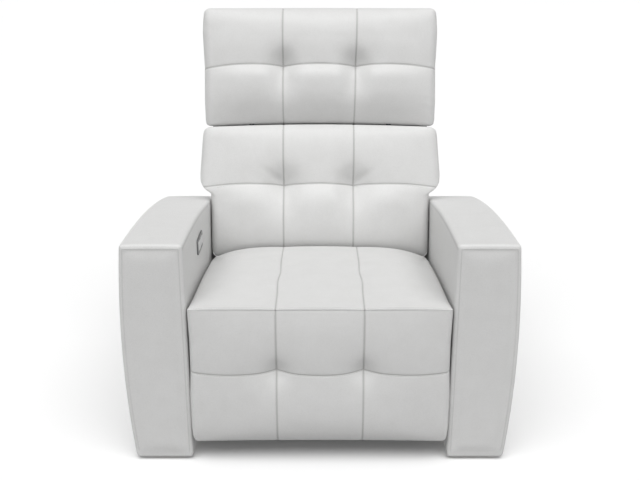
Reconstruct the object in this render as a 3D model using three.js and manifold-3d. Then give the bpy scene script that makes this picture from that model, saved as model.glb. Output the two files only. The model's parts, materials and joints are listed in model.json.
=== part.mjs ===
// Cinema recliner seat: two upholstered arms on a steel base, a seat carried on swing links, a reclining
// back with side wings, a tilting headrest and a footrest on folding links, moved by three actuators.
// Millimetres, +Z up. The sitter faces -Y. The origin is on the floor under the middle of the seat.
import * as THREE from "three";
import { mergeVertices } from "three/addons/utils/BufferGeometryUtils.js";
import Module from "manifold-3d";

const wasm = await Module();
wasm.setup();

// Clearances that several pieces share
const SEAT_GAP = 0.3; // between two pieces that rest on each other
const HOLE_GAP = 0.5; // between a pin and its hole, on the radius
const CUT_OVER = 2; // how far a cut runs past the face it opens
const JOIN_OVER = 1; // how far two solids that are joined run into each other
const PIN_PROUD = 1.5; // how far the end of a pin stands past the plate that turns on it
const WELD_GAP = 1e-4; // corners that are nearer than this are one corner

// How finely round things are divided
const ROUND_SIDES = 24;
const PIN_SIDES = 16;
const CURVE_STEPS = 5;

// Leather grey of the covers and the finishes of the hidden pieces
const LEATHER = { color: 0xd6d6d4, roughness: 0.55, metalness: 0 };
const STEEL = { color: 0x2c2d30, roughness: 0.5, metalness: 0.7 };
const ZINC = { color: 0xb4b7ba, roughness: 0.35, metalness: 0.9 };
const WOOD = { color: 0xb28a5c, roughness: 0.8, metalness: 0 };
const BLACK_PLASTIC = { color: 0x1d1d1f, roughness: 0.6, metalness: 0 };
const WEBBING = { color: 0x55524c, roughness: 0.9, metalness: 0 };

// Arms
const arm = {
  frontY: -447, // front face of the front panel
  length: 850,
  height: 606, // top of the arm at its front
  innerX: 336, // half of the space between the arms
  bowX: 504.5, // widest half width of the seat
  bowZ: 330, // height of the widest place
  bowRadius: 2970, // of the outer side, seen from the front
  topRadius: 2970, // of the top, seen from the side
  dropStart: 700, // from the front, where the top falls away faster
  dropRadius: 300,
  floorGap: 5, // height of a glide
  frontPad: 20,
  innerPad: 16,
  outerPad: 22,
  topPad: 30,
  rearPad: 20,
  softEdge: 6, // rounding of each panel
  boardWall: 13,
  glideRadius: 20,
  glideInset: 70,
  glideBoard: 70,
  topSteps: 14,
  bowSteps: 8,
};

// Seat cushion, seen from the side in world places
const seat = {
  sideRoom: 5, // between the cushion and an arm
  noseY: -455, // front seam
  noseZ: 443,
  noseThick: 9,
  lipLeast: 6, // thickness of the lip at its rounded ends
  faceY: -350, // front face behind the footrest pad
  faceZ: 411,
  rearY: 56,
  sideFrontZ: 442, // top along the arms at the front seam
  sideRearZ: 374, // top along the arms at the rear
  midRearZ: 412, // top at the middle of the rear
  noseCrown: 5,
  softRadius: 16,
  panelCrown: 9,
  channelX: 113, // the two sewn channels of every cushion
  sideFallPower: 1.6, // how late the top falls along the arms
  midFallPower: 2,
  puffStartShare: -0.12, // where the stuffing starts and ends, of the depth of the top
  puffEndShare: 1.02,
};

// Footrest pad, stowed upright in front of the seat
const pad = {
  sideRoom: 4, // between the pad and an arm
  frontY: -468,
  backY: -372,
  topFrontZ: 432,
  topRadius: 9,
  topBackZ: 404,
  bottomZ: 66,
  rearRise: 5, // how much higher the rear edge of the bottom lies
  tuftZ: 271,
  crown: 6,
  panelCrown: 7,
  tuftDepth: 7,
  softRadius: 24,
  board: 12,
  boardInset: 32, // from the pad's side to the plate's
  boardTopZ: 396,
  boardBottomZ: 92,
};

// Back and headrest in the lean of the back: t is behind the front plane, s is up along it
const back = {
  footY: 71, // front plane at the height footZ
  footZ: 422,
  lean: 13, // degrees
  sideRoom: 8, // between the cushion and an arm
  wingReach: 25, // of a wing over the arm's inner face
  wingThick: 70,
  wingFrontS: 150,
  wingRearS: 215,
  bottomS: -40,
  topS: 363,
  tuftS: 181,
  thick: 140,
  crown: 7,
  panelCrown: 13,
  tuftDepth: 12,
  softRadius: 18,
  lipThick: 14, // front strip that closes the joint between back and headrest
  lipRake: 1, // how much deeper the strip is at its inner corner
  jointRoom: 7, // how far the cushion stays below the hinge arms behind that strip
};
const head = {
  lipGap: 5.5,
  topS: 713,
  jointRoom: 2, // how far the cushion stays above the hinge arms
  tuftS: 541,
  halfWidth: 348,
  thick: 133,
  pinT: 24,
  pinS: 366,
  plate: 4,
  plateInset: 48, // from the headrest's side to the plate's
  plateBottomS: 384,
  plateTopS: 672,
  panelRearT: 190,
  panelBottomS: 374,
  panelWall: 20,
  panelBoard: 14,
};

// Hinge of the back on the seat frame, and the frame of the back
const backHinge = { t: 155, s: -115, pin: 8, ear: 16, plateGap: 2.5 };
const backFrame = {
  frontT: 145,
  rearT: 180,
  sideRoom: 14, // between a post and an arm
  postWidth: 26,
  topRailS: 300,
  railHeight: 35,
  lowRailS: -60,
  lowRailHeight: 25,
  lowRailThick: 25,
  webbingThick: 3,
  webbingEdge: 12,
};
const backPanel = {
  rearT: 214,
  frontT: 140.5,
  bottomS: -60,
  topS: 352,
  board: 30,
  wall: 7.2,
  sideRoom: 6, // between the panel and an arm
};

// Hinge arms of the headrest: a strip of the back frame with one of the headrest plate beside it
const armStrip = { radius: 7, thick: 6, x: 200, step: 8, pin: 5, riserT: 160 };

// Seat frame of steel tube
const tube = { height: 22, width: 25, sideWidth: 30, sideRoom: 10, topZ: 322 };
const seatFrame = { frontY: -320, midY: -40, rearY: 150, sideRearY: 178 };
const webbing = { thick: 3, inset: 14 };

// Swing links under the seat: base pivots and the lean of the links at rest
const swing = {
  frontY: -80,
  rearY: 120,
  pivotZ: 90,
  length: 130,
  lean: 24, // degrees backwards at rest, as much forwards at full recline
  tieShare: 0.6,
  tieRadius: 10,
  slotRoom: 12, // how far the fork is open below the tie tube
  plateInset: 93, // from an arm's inner face to a link's inner face
  plate: 6,
  plateGap: 3,
  ear: 14,
  pin: 7,
  lug: 6,
};

// Folding links of the footrest
const lift = {
  seamY: -466, // the line that the pad turns about while it rises
  seamZ: 441,
  pivotY: -280, // lift link on the hanger
  pivotZ: 255,
  padPivotY: -343, // reach link on the footrest plate
  padPivotZ: 300,
  stayStep: 40, // stay link behind the lift link
  padStep: 36, // pad link below the reach link
  ear: 11,
  pin: 6,
  hangerInset: 68, // from an arm's inner face to a hanger's inner face
  plateGap: 3,
  plate: 5,
  tieDistance: 60,
  tieRadius: 10,
  hangerEar: 14,
  flange: 4,
  flangeWidth: 20,
  flangeTopZ: 322,
  flangeBottomZ: 238,
};

// Base between the arms
const base = {
  railWidth: 35.7,
  railZ: 25,
  railTopZ: 60,
  crossZ: 30,
  frontY: -330,
  crossDepth: 30,
  rearCrossGap: 5, // between the rear tube and the panel
  panelY: 380,
  panelThick: 12,
  panelZ: 30,
  panelTopZ: 340,
  boxX: -230,
  boxWidth: 120,
  boxZ: 110,
  boxHeight: 60,
  boxDepth: 39,
  inletX: -60,
  inletZ: 90,
  inletRadius: 8,
  flangeRadius: 12,
  inletFlange: 4,
  inletDepth: 14,
  inletHole: 3,
};

// Actuators: a motor with its rail, and the carriage that slides on it
const drive = {
  railHalf: 12,
  railHeight: 22,
  runGap: 0.5,
  carriageHalf: 20,
  carriageHalfLength: 18,
  slotHalf: 13,
  motorHalf: 35,
  motorHeight: 60,
  standInset: 1, // a stand is this much narrower than what it stands on
};
const seatDrive = {
  railFront: 60,
  railZ: 96,
  motorY: 190,
  motorLength: 100,
  motorZ: 80,
  tailLength: 70,
  forkZ: 186,
};
const footDrive = {
  railFront: -345,
  railTopZ: 284,
  motorLength: 65,
  motorZ: 228,
  motorGap: 4, // in front of the middle rail
  forkZ: 172,
  slotTopZ: 232,
};
const headDrive = {
  half: 15,
  bottomS: 150,
  rod: 6,
  rodStart: 30, // from the bottom of the body to the bottom of the rod
  travelRoom: 0.8,
  lugHalf: 12,
  lugThick: 6,
  midT: 156,
};

// Switch on the inner face of the arm at -X
const plate = {
  y: -158,
  z: 511,
  length: 96,
  height: 44,
  proud: 3.2,
  corner: 8,
  buttonLength: 34,
  buttonHeight: 24,
  buttonStep: 40,
  buttonCorner: 4,
  buttonProud: 1.4,
  buttonGap: 0.5,
  travel: 1.5,
  housingLength: 84,
  housingHeight: 34,
  housingDepth: 15,
};

const object = new THREE.Group();
object.name = "cinema_recliner_seat";

// Half widths between the arms
const seatHalfWidth = arm.innerX - seat.sideRoom;
const padHalfWidth = arm.innerX - pad.sideRoom;
const backHalfWidth = arm.innerX - back.sideRoom;
const wingHalfWidth = arm.innerX + back.wingReach;
const sideOuterX = arm.innerX - tube.sideRoom;
const postOuterX = arm.innerX - backFrame.sideRoom;
const swingPlateX = arm.innerX - swing.plateInset;
const swingLugX = swingPlateX + swing.plate + swing.plateGap;
const hangerX = arm.innerX - lift.hangerInset;
const linkX = hangerX + lift.plate + lift.plateGap;
const reachX = linkX + lift.plate + lift.plateGap;
const rearCrossY = base.panelY - base.rearCrossGap - base.crossDepth;

// Places in the world of the seat and of the back
const radians = THREE.MathUtils.degToRad;
const lean = radians(back.lean);
const backGroup = new THREE.Group();
backGroup.position.set(0, back.footY, back.footZ);
backGroup.rotation.x = -lean;
object.add(backGroup);

function addPiece(name, geometry, finish, group = object) {
  const mesh = new THREE.Mesh(geometry, new THREE.MeshStandardMaterial(finish));
  mesh.name = name;
  group.add(mesh);
  return mesh;
}

// Geometry with its shared corners merged and only its positions kept
function welded(geometry) {
  const bare = new THREE.BufferGeometry();
  bare.setAttribute("position", geometry.getAttribute("position"));
  if (geometry.index) bare.setIndex(geometry.index);
  return mergeVertices(bare, WELD_GAP);
}

function toSolid(geometry) {
  const closed = welded(geometry);
  return new wasm.Manifold(
    new wasm.Mesh({
      numProp: 3,
      vertProperties: new Float32Array(closed.getAttribute("position").array),
      triVerts: new Uint32Array(closed.index.array),
    }),
  );
}

function toGeometry(solid) {
  const mesh = solid.getMesh();
  const geometry = new THREE.BufferGeometry();
  geometry.setAttribute("position", new THREE.BufferAttribute(mesh.vertProperties, 3));
  geometry.setIndex(new THREE.BufferAttribute(mesh.triVerts, 1));
  return geometry;
}

function joined(...geometries) {
  return toGeometry(geometries.map(toSolid).reduce((whole, next) => whole.add(next)));
}

function cut(geometry, ...tools) {
  return toGeometry(tools.map(toSolid).reduce((whole, tool) => whole.subtract(tool), toSolid(geometry)));
}

function box(x0, x1, y0, y1, z0, z1) {
  const geometry = new THREE.BoxGeometry(x1 - x0, y1 - y0, z1 - z0);
  return geometry.translate((x0 + x1) / 2, (y0 + y1) / 2, (z0 + z1) / 2);
}

// Turns a shape drawn in (y, z) and pulled along its own z into a plate that is pulled along X
const ALONG_X = new THREE.Matrix4().makeBasis(
  new THREE.Vector3(0, 1, 0),
  new THREE.Vector3(0, 0, 1),
  new THREE.Vector3(1, 0, 0),
);
// The same for a shape drawn in (x, z) and pulled along -Y
const ALONG_Y = new THREE.Matrix4().makeBasis(
  new THREE.Vector3(1, 0, 0),
  new THREE.Vector3(0, 0, 1),
  new THREE.Vector3(0, -1, 0),
);

function alongX(shape, x0, x1, edge = 0) {
  const low = Math.min(x0, x1);
  const depth = Math.abs(x1 - x0) - 2 * edge;
  const settings = bevelled({ depth, curveSegments: CURVE_STEPS }, edge);
  const geometry = new THREE.ExtrudeGeometry(shape, settings);
  return geometry.applyMatrix4(ALONG_X).translate(low + edge, 0, 0);
}

function alongY(shape, y0, y1, edge = 0) {
  const depth = y1 - y0 - 2 * edge;
  const settings = bevelled({ depth, curveSegments: CURVE_STEPS }, edge);
  const geometry = new THREE.ExtrudeGeometry(shape, settings);
  return geometry.applyMatrix4(ALONG_Y).translate(0, y1 - edge, 0);
}

function bevelled(settings, edge) {
  if (edge === 0) return { ...settings, bevelEnabled: false };
  return { ...settings, bevelThickness: edge, bevelSize: edge, bevelOffset: -edge, bevelSegments: 2 };
}

function rod(x0, x1, y, z, radius, sides = PIN_SIDES) {
  const geometry = new THREE.CylinderGeometry(radius, radius, Math.abs(x1 - x0), sides);
  return geometry.rotateZ(Math.PI / 2).translate((x0 + x1) / 2, y, z);
}

function outline(points) {
  return new THREE.Shape(points.map(([a, b]) => new THREE.Vector2(a, b)));
}

// Outline of a flat link: the tight band round discs [y, z, radius], given anticlockwise
function bandOutline(discs, holes = []) {
  const points = [];
  discs.forEach(([y, z, radius], index) => {
    const before = discs[(index + discs.length - 1) % discs.length];
    const after = discs[(index + 1) % discs.length];
    const from = tangentAngle(before, [y, z, radius]);
    let to = tangentAngle([y, z, radius], after);
    while (to < from) to += 2 * Math.PI;
    for (let step = 0; step <= CURVE_STEPS; step += 1) {
      const angle = from + ((to - from) * step) / CURVE_STEPS;
      points.push([y + radius * Math.cos(angle), z + radius * Math.sin(angle)]);
    }
  });
  const shape = outline(points);
  for (const [y, z, radius] of holes) {
    shape.holes.push(new THREE.Path().absarc(y, z, radius, 0, 2 * Math.PI, true));
  }
  return shape;
}

// Direction from a disc's middle to where the band leaves it for the next disc
function tangentAngle([y0, z0, r0], [y1, z1, r1]) {
  const distance = Math.hypot(y1 - y0, z1 - z0);
  return Math.atan2(z1 - z0, y1 - y0) - Math.acos((r0 - r1) / distance);
}

function onBothSides(make) {
  make("left", -1);
  make("right", 1);
}

// Closed form through rings of (y, z) points at rising places along X, each end a fan round its middle
function throughRings(places, ringAt) {
  const rings = places.map((x) => ringAt(x));
  const count = rings[0].length;
  const positions = [];
  rings.forEach((ring, index) => ring.forEach(([y, z]) => positions.push(places[index], y, z)));
  const faces = [];
  for (let ring = 0; ring + 1 < rings.length; ring += 1) {
    for (let point = 0; point < count; point += 1) {
      const a = ring * count + point;
      const b = ring * count + ((point + 1) % count);
      faces.push(a, a + count, b, b, a + count, b + count);
    }
  }
  const last = (rings.length - 1) * count;
  for (const [start, ring, place] of [[0, rings[0], places[0]], [last, rings.at(-1), places.at(-1)]]) {
    const middle = positions.length / 3;
    const sum = ring.reduce(([y, z], point) => [y + point[0], z + point[1]], [0, 0]);
    positions.push(place, sum[0] / count, sum[1] / count);
    for (let point = 0; point < count; point += 1) {
      const a = start + point;
      const b = start + ((point + 1) % count);
      faces.push(...(start === 0 ? [middle, a, b] : [middle, b, a]));
    }
  }
  const geometry = new THREE.BufferGeometry();
  geometry.setAttribute("position", new THREE.Float32BufferAttribute(positions, 3));
  geometry.setIndex(faces);
  return outwards(geometry);
}

// Turns every face round when the closed form has a negative volume
function outwards(geometry) {
  const position = geometry.getAttribute("position");
  const index = geometry.index.array;
  const [a, b, c] = [new THREE.Vector3(), new THREE.Vector3(), new THREE.Vector3()];
  let volume = 0;
  for (let face = 0; face < index.length; face += 3) {
    a.fromBufferAttribute(position, index[face]);
    b.fromBufferAttribute(position, index[face + 1]);
    c.fromBufferAttribute(position, index[face + 2]);
    volume += a.dot(b.cross(c));
  }
  if (volume < 0) {
    for (let face = 0; face < index.length; face += 3) {
      [index[face + 1], index[face + 2]] = [index[face + 2], index[face + 1]];
    }
  }
  return geometry;
}

// Soft forms: how full a stuffed panel stands between two seams, 0 at a seam and 1 in its middle
const PANEL_POWER = 2.6;
const FLAT_POWER = 4; // how flat a crown stays before it falls to its ends
function fullness(value, low, high) {
  const share = Math.abs((2 * (value - low)) / (high - low) - 1);
  return 1 - Math.min(share, 1) ** PANEL_POWER;
}

function acrossFullness(x, halfWidth) {
  const edges = [-halfWidth, -seat.channelX, seat.channelX, halfWidth];
  const panel = edges.findIndex((edge, index) => index > 0 && x <= edge);
  const upper = panel < 1 ? edges.length - 1 : panel;
  return fullness(x, edges[upper - 1], edges[upper]);
}

// How far a rounded edge draws in, at a distance from the end of the form
function drawnIn(distance, radius) {
  if (distance >= radius) return 0;
  const reach = radius - Math.max(distance, 0);
  return radius - Math.sqrt(radius * radius - reach * reach);
}

// Dimples of the two sewn tufts
const TUFT_SPREAD = 26;
function tuftPull(x, along) {
  const side = Math.abs(x) - seat.channelX;
  return Math.exp(-(side * side + along * along) / (2 * TUFT_SPREAD * TUFT_SPREAD));
}

// Places along X that are close together at the channels and the rounded ends
const RING_SHARES = [0.04, 0.14, 0.24, 0.31, 0.342, 0.375, 0.45, 0.58, 0.72, 0.84, 0.92, 0.965, 0.99, 1];
function ringPlaces(halfWidth, extra = []) {
  const half = [...RING_SHARES.map((share) => share * halfWidth), ...extra].sort((a, b) => a - b);
  return [...half.map((x) => -x).reverse(), ...half];
}

// Front outline of a tufted upright cushion at one place along X, from its bottom to its top
const FRONT_SHARES = [
  0, 0.015, 0.05, 0.12, 0.22, 0.33, 0.42, 0.47, 0.5, 0.53, 0.58, 0.67, 0.78, 0.88, 0.95, 0.985, 1,
];
function tuftedFront(x, form) {
  const endInset = drawnIn(form.halfWidth - Math.abs(x), form.softRadius);
  const low = form.low + endInset;
  const high = form.high - endInset;
  const across = acrossFullness(x, form.halfWidth);
  const whole = 1 - (Math.abs(x) / form.halfWidth) ** FLAT_POWER;
  const topRadius = form.topRadius ?? form.softRadius;
  return FRONT_SHARES.map((share) => {
    const along = low + share * (high - low);
    const row = along < form.tuft ? fullness(along, low, form.tuft) : fullness(along, form.tuft, high);
    const rise = whole * fullness(along, low, high);
    const edge = drawnIn(along - low, form.softRadius) + drawnIn(high - along, topRadius) + endInset;
    const puff = form.crown * rise + form.panelCrown * Math.sqrt(Math.max(across * row, 0));
    return [form.front - puff + form.tuftDepth * tuftPull(x, along - form.tuft) + edge, along];
  });
}

// Arm panels
function armTop(fromFront) {
  const late = Math.max(fromFront - arm.dropStart, 0);
  return arm.height - fromFront ** 2 / (2 * arm.topRadius) - late ** 2 / (2 * arm.dropRadius);
}

function bowedX(z) {
  return arm.bowX - (z - arm.bowZ) ** 2 / (2 * arm.bowRadius);
}

// Side view of an arm piece between two distances from the front, its top lowered by some amount
function armSide(from, to, lowered, bottomZ) {
  const points = [[arm.frontY + from, bottomZ], [arm.frontY + to, bottomZ]];
  for (let step = arm.topSteps; step >= 0; step -= 1) {
    const distance = from + ((to - from) * step) / arm.topSteps;
    points.push([arm.frontY + distance, armTop(distance) - lowered]);
  }
  return points;
}

// Front view of an arm piece from an inner X to the bowed side
function armSection(innerX, inset, bottomZ, topZ) {
  const points = [[innerX, bottomZ]];
  for (let step = 0; step <= arm.bowSteps; step += 1) {
    const z = bottomZ + ((topZ - bottomZ) * step) / arm.bowSteps;
    points.push([bowedX(z) - inset, z]);
  }
  points.push([innerX, topZ]);
  return points;
}

function mirrorX(geometry, side) {
  if (side > 0) return geometry;
  return outwards(welded(geometry.scale(-1, 1, 1)));
}

const armRear = arm.length - arm.rearPad;
const armInnerBoardX = arm.innerX + arm.innerPad + SEAT_GAP;
const armOuterBoardX = bowedX(arm.floorGap) - arm.outerPad;
const armPadFrom = arm.frontPad + SEAT_GAP;
const padLowZ = arm.floorGap + SEAT_GAP;
// Distances from the front of the boards that the glides screw to
const GLIDE_PLACES = [arm.glideInset, armRear - arm.glideInset];

function armFrame() {
  const lowered = arm.topPad + SEAT_GAP;
  const bottomZ = arm.floorGap + SEAT_GAP;
  const wall = arm.boardWall;
  const solid = alongX(
    outline(armSide(armPadFrom, armRear - SEAT_GAP, lowered, bottomZ)),
    armInnerBoardX,
    armOuterBoardX,
  );
  const room = alongX(
    outline(armSide(armPadFrom + wall, armRear - SEAT_GAP - wall, lowered + wall, bottomZ - CUT_OVER)),
    armInnerBoardX + wall,
    armOuterBoardX - wall,
  );
  const boards = GLIDE_PLACES.map((fromFront) =>
    box(
      armInnerBoardX,
      armOuterBoardX,
      arm.frontY + fromFront - arm.glideBoard / 2,
      arm.frontY + fromFront + arm.glideBoard / 2,
      bottomZ,
      bottomZ + wall,
    ),
  );
  return joined(cut(solid, room), ...boards);
}

function armTopBand() {
  const over = armSide(armPadFrom, arm.length, 0, padLowZ);
  const under = armSide(armPadFrom, armRear, arm.topPad, padLowZ);
  const outer = over.slice(2);
  const inner = under.slice(2).reverse();
  const path = [
    [arm.frontY + arm.length, padLowZ],
    ...outer,
    ...inner,
    [arm.frontY + armRear, padLowZ],
  ];
  const topX = bowedX(arm.height - arm.topPad);
  return alongX(outline(path), arm.innerX, topX, arm.softEdge);
}

function armOuter() {
  const section = armSection(armOuterBoardX + SEAT_GAP, 0, padLowZ, arm.height);
  const side = alongX(
    outline(armSide(armPadFrom, armRear - SEAT_GAP, arm.topPad + SEAT_GAP, padLowZ)),
    armOuterBoardX + SEAT_GAP,
    arm.bowX + CUT_OVER,
  );
  const bow = alongY(outline(section), arm.frontY + armPadFrom, arm.frontY + armRear - SEAT_GAP);
  return toGeometry(toSolid(side).intersect(toSolid(bow)));
}

function armInner(side) {
  const shape = outline(armSide(armPadFrom, armRear - SEAT_GAP, arm.topPad + SEAT_GAP, padLowZ));
  const sheet = alongX(shape, arm.innerX, arm.innerX + arm.innerPad, arm.softEdge / 2);
  if (side > 0) return sheet;
  const halfLength = plate.housingLength / 2 + HOLE_GAP;
  const halfHeight = plate.housingHeight / 2 + HOLE_GAP;
  const hole = box(
    arm.innerX - CUT_OVER,
    arm.innerX + arm.innerPad + CUT_OVER,
    plate.y - halfLength,
    plate.y + halfLength,
    plate.z - halfHeight,
    plate.z + halfHeight,
  );
  return cut(sheet, hole);
}

function armFront() {
  const section = armSection(arm.innerX, 0, padLowZ, arm.height);
  return alongY(outline(section), arm.frontY, arm.frontY + arm.frontPad, arm.softEdge);
}

function glide(fromFront) {
  const middleX = (armInnerBoardX + armOuterBoardX) / 2;
  const geometry = new THREE.CylinderGeometry(arm.glideRadius, arm.glideRadius, arm.floorGap, ROUND_SIDES);
  return geometry.rotateX(Math.PI / 2).translate(middleX, arm.frontY + fromFront, arm.floorGap / 2);
}

onBothSides((side, sign) => {
  addPiece(`arm_frame_${side}`, mirrorX(armFrame(), sign), WOOD);
  addPiece(`arm_top_band_${side}`, mirrorX(armTopBand(), sign), LEATHER);
  addPiece(`arm_outer_panel_${side}`, mirrorX(armOuter(), sign), LEATHER);
  addPiece(`arm_inner_panel_${side}`, mirrorX(armInner(sign), sign), LEATHER);
  addPiece(`arm_front_panel_${side}`, mirrorX(armFront(), sign), LEATHER);
  ["front", "rear"].forEach((place, index) => {
    addPiece(`glide_${place}_${side}`, mirrorX(glide(GLIDE_PLACES[index]), sign), BLACK_PLASTIC);
  });
});

// Base frame of steel tube, standing between the arms and screwed to them
const railOuterX = arm.innerX - SEAT_GAP;
const railInnerX = railOuterX - base.railWidth;
const crossHalf = railInnerX - SEAT_GAP;

function pivotCross(pivotY) {
  const depth = base.crossDepth / 2;
  const parts = [box(-crossHalf, crossHalf, pivotY - depth, pivotY + depth, base.crossZ, base.railTopZ)];
  for (const sign of [-1, 1]) {
    const ear = bandOutline([[pivotY, base.crossZ + depth, depth], [pivotY, swing.pivotZ, swing.ear]]);
    const pinInner = sign * (swingPlateX - CUT_OVER);
    const lugOuter = sign * (swingLugX + swing.lug);
    parts.push(alongX(ear, sign * swingLugX, lugOuter));
    parts.push(rod(pinInner, lugOuter, pivotY, swing.pivotZ, swing.pin));
  }
  return joined(...parts);
}

onBothSides((side, sign) => {
  const rail = box(railInnerX, railOuterX, base.frontY, base.panelY - SEAT_GAP, base.railZ, base.railTopZ);
  addPiece(`base_side_rail_${side}`, mirrorX(rail, sign), STEEL);
});
addPiece("base_front_cross_tube", pivotCross(swing.frontY), STEEL);
addPiece("base_middle_cross_tube", pivotCross(swing.rearY), STEEL);
const rearCrossBackY = rearCrossY + base.crossDepth;
addPiece(
  "base_rear_cross_tube",
  box(-crossHalf, crossHalf, rearCrossY, rearCrossBackY, base.crossZ, base.railTopZ),
  STEEL,
);

// Rear panel with the low-voltage inlet, and the control box behind it
const panelBackY = base.panelY + base.panelThick;
function alongYRod(radius, y0, y1, x, z) {
  const geometry = new THREE.CylinderGeometry(radius, radius, y1 - y0, ROUND_SIDES);
  return geometry.translate(x, (y0 + y1) / 2, z);
}
const rearPanel = box(-railOuterX, railOuterX, base.panelY, panelBackY, base.panelZ, base.panelTopZ);
const inletHoleTool = alongYRod(
  base.inletRadius + HOLE_GAP,
  base.panelY - CUT_OVER,
  panelBackY + CUT_OVER,
  base.inletX,
  base.inletZ,
);
addPiece("rear_base_panel", cut(rearPanel, inletHoleTool), BLACK_PLASTIC);
const inletFace = panelBackY + SEAT_GAP + base.inletFlange;
addPiece(
  "power_inlet",
  cut(
    joined(
      alongYRod(base.flangeRadius, panelBackY + SEAT_GAP, inletFace, base.inletX, base.inletZ),
      alongYRod(base.inletRadius, base.panelY - base.inletFlange, inletFace, base.inletX, base.inletZ),
    ),
    alongYRod(base.inletHole, inletFace - base.inletDepth, inletFace + CUT_OVER, base.inletX, base.inletZ),
  ),
  BLACK_PLASTIC,
);
const boxFrontY = base.panelY - base.boxDepth;
addPiece(
  "control_box",
  box(
    base.boxX,
    base.boxX + base.boxWidth,
    boxFrontY,
    base.panelY - SEAT_GAP,
    base.boxZ,
    base.boxZ + base.boxHeight,
  ),
  BLACK_PLASTIC,
);

// Swing links: two plates tied by a tube, leaning back at rest
const swingLean = radians(swing.lean);
function swingTop(pivotY) {
  return [pivotY + swing.length * Math.sin(swingLean), swing.pivotZ + swing.length * Math.cos(swingLean)];
}
function swingTie(pivotY) {
  const [topY, topZ] = swingTop(pivotY);
  return [pivotY + (topY - pivotY) * swing.tieShare, swing.pivotZ + (topZ - swing.pivotZ) * swing.tieShare];
}
function swingLink(pivotY) {
  const [topY, topZ] = swingTop(pivotY);
  const [tieY, tieZ] = swingTie(pivotY);
  const hole = swing.pin + HOLE_GAP;
  const discs = [[pivotY, swing.pivotZ, swing.ear], [topY, topZ, swing.ear]];
  const shape = bandOutline(discs, [[pivotY, swing.pivotZ, hole], [topY, topZ, hole]]);
  const tieHalf = swingPlateX + JOIN_OVER;
  const parts = [rod(-tieHalf, tieHalf, tieY, tieZ, swing.tieRadius)];
  for (const sign of [-1, 1]) {
    parts.push(alongX(shape, sign * swingPlateX, sign * (swingPlateX + swing.plate)));
  }
  return joined(...parts);
}
addPiece("front_swing_link", swingLink(swing.frontY), ZINC);
addPiece("rear_swing_link", swingLink(swing.rearY), ZINC);

// Actuator that swings the seat: motor and rail in one, and a carriage whose fork holds the rear tie tube
const [rearTieY] = swingTie(swing.rearY);
function seatMotor() {
  const motorEnd = seatDrive.motorY + seatDrive.motorLength;
  const standDepth = base.crossDepth / 2 - drive.standInset;
  const standHalf = drive.railHalf - drive.standInset;
  return joined(
    box(
      -drive.motorHalf,
      drive.motorHalf,
      seatDrive.motorY,
      motorEnd,
      seatDrive.motorZ,
      seatDrive.motorZ + drive.motorHeight,
    ),
    box(
      -drive.railHalf,
      drive.railHalf,
      seatDrive.railFront,
      seatDrive.motorY + CUT_OVER,
      seatDrive.railZ,
      seatDrive.railZ + drive.railHeight,
    ),
    box(
      -standHalf,
      standHalf,
      swing.rearY - standDepth,
      swing.rearY + standDepth,
      base.railTopZ + SEAT_GAP,
      seatDrive.railZ + JOIN_OVER,
    ),
    box(
      -drive.carriageHalf,
      drive.carriageHalf,
      motorEnd - CUT_OVER - base.crossDepth,
      motorEnd + seatDrive.tailLength,
      base.railTopZ + SEAT_GAP,
      seatDrive.motorZ + JOIN_OVER,
    ),
  );
}
addPiece("recline_motor", seatMotor(), BLACK_PLASTIC);

// Carriage that straddles a rail; its fork takes a tie tube from the side that faces away from the rail
function carriage(middleY, railZ, railTopZ, forkZ, slotZ) {
  const { carriageHalf, carriageHalfLength, slotHalf, railHalf, runGap } = drive;
  const up = forkZ > railZ;
  const gripZ = (railZ + railTopZ) / 2;
  const y0 = middleY - carriageHalfLength;
  const y1 = middleY + carriageHalfLength;
  const body = box(-carriageHalf, carriageHalf, y0, y1, Math.min(gripZ, forkZ), Math.max(gripZ, forkZ));
  const railHalfRoom = railHalf + runGap;
  const railRoom = box(
    -railHalfRoom,
    railHalfRoom,
    y0 - CUT_OVER,
    y1 + CUT_OVER,
    up ? gripZ - CUT_OVER : railZ - runGap,
    up ? railTopZ + runGap : gripZ + CUT_OVER,
  );
  const slot = box(
    -carriageHalf - CUT_OVER,
    carriageHalf + CUT_OVER,
    middleY - slotHalf,
    middleY + slotHalf,
    up ? slotZ : forkZ - CUT_OVER,
    up ? forkZ + CUT_OVER : slotZ,
  );
  return cut(body, railRoom, slot);
}
const seatRailTopZ = seatDrive.railZ + drive.railHeight;
const seatTieZ = swing.pivotZ + swing.length * swing.tieShare * Math.cos(swingLean);
const seatSlotZ = seatTieZ - swing.tieRadius - swing.slotRoom;
addPiece(
  "recline_carriage",
  carriage(rearTieY, seatDrive.railZ, seatRailTopZ, seatDrive.forkZ, seatSlotZ),
  ZINC,
);

// Seat frame: side rails, three cross rails, the lugs for the swing links and the hangers for the footrest
const railLowZ = tube.topZ - tube.height;
const sideInnerX = sideOuterX - tube.sideWidth;
const hingeY = back.footY + backHinge.s * Math.sin(lean) + backHinge.t * Math.cos(lean);
const hingeZ = back.footZ + backHinge.s * Math.cos(lean) - backHinge.t * Math.sin(lean);
const hingePlateX = postOuterX - backFrame.postWidth - swing.plate - backHinge.plateGap;

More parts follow.
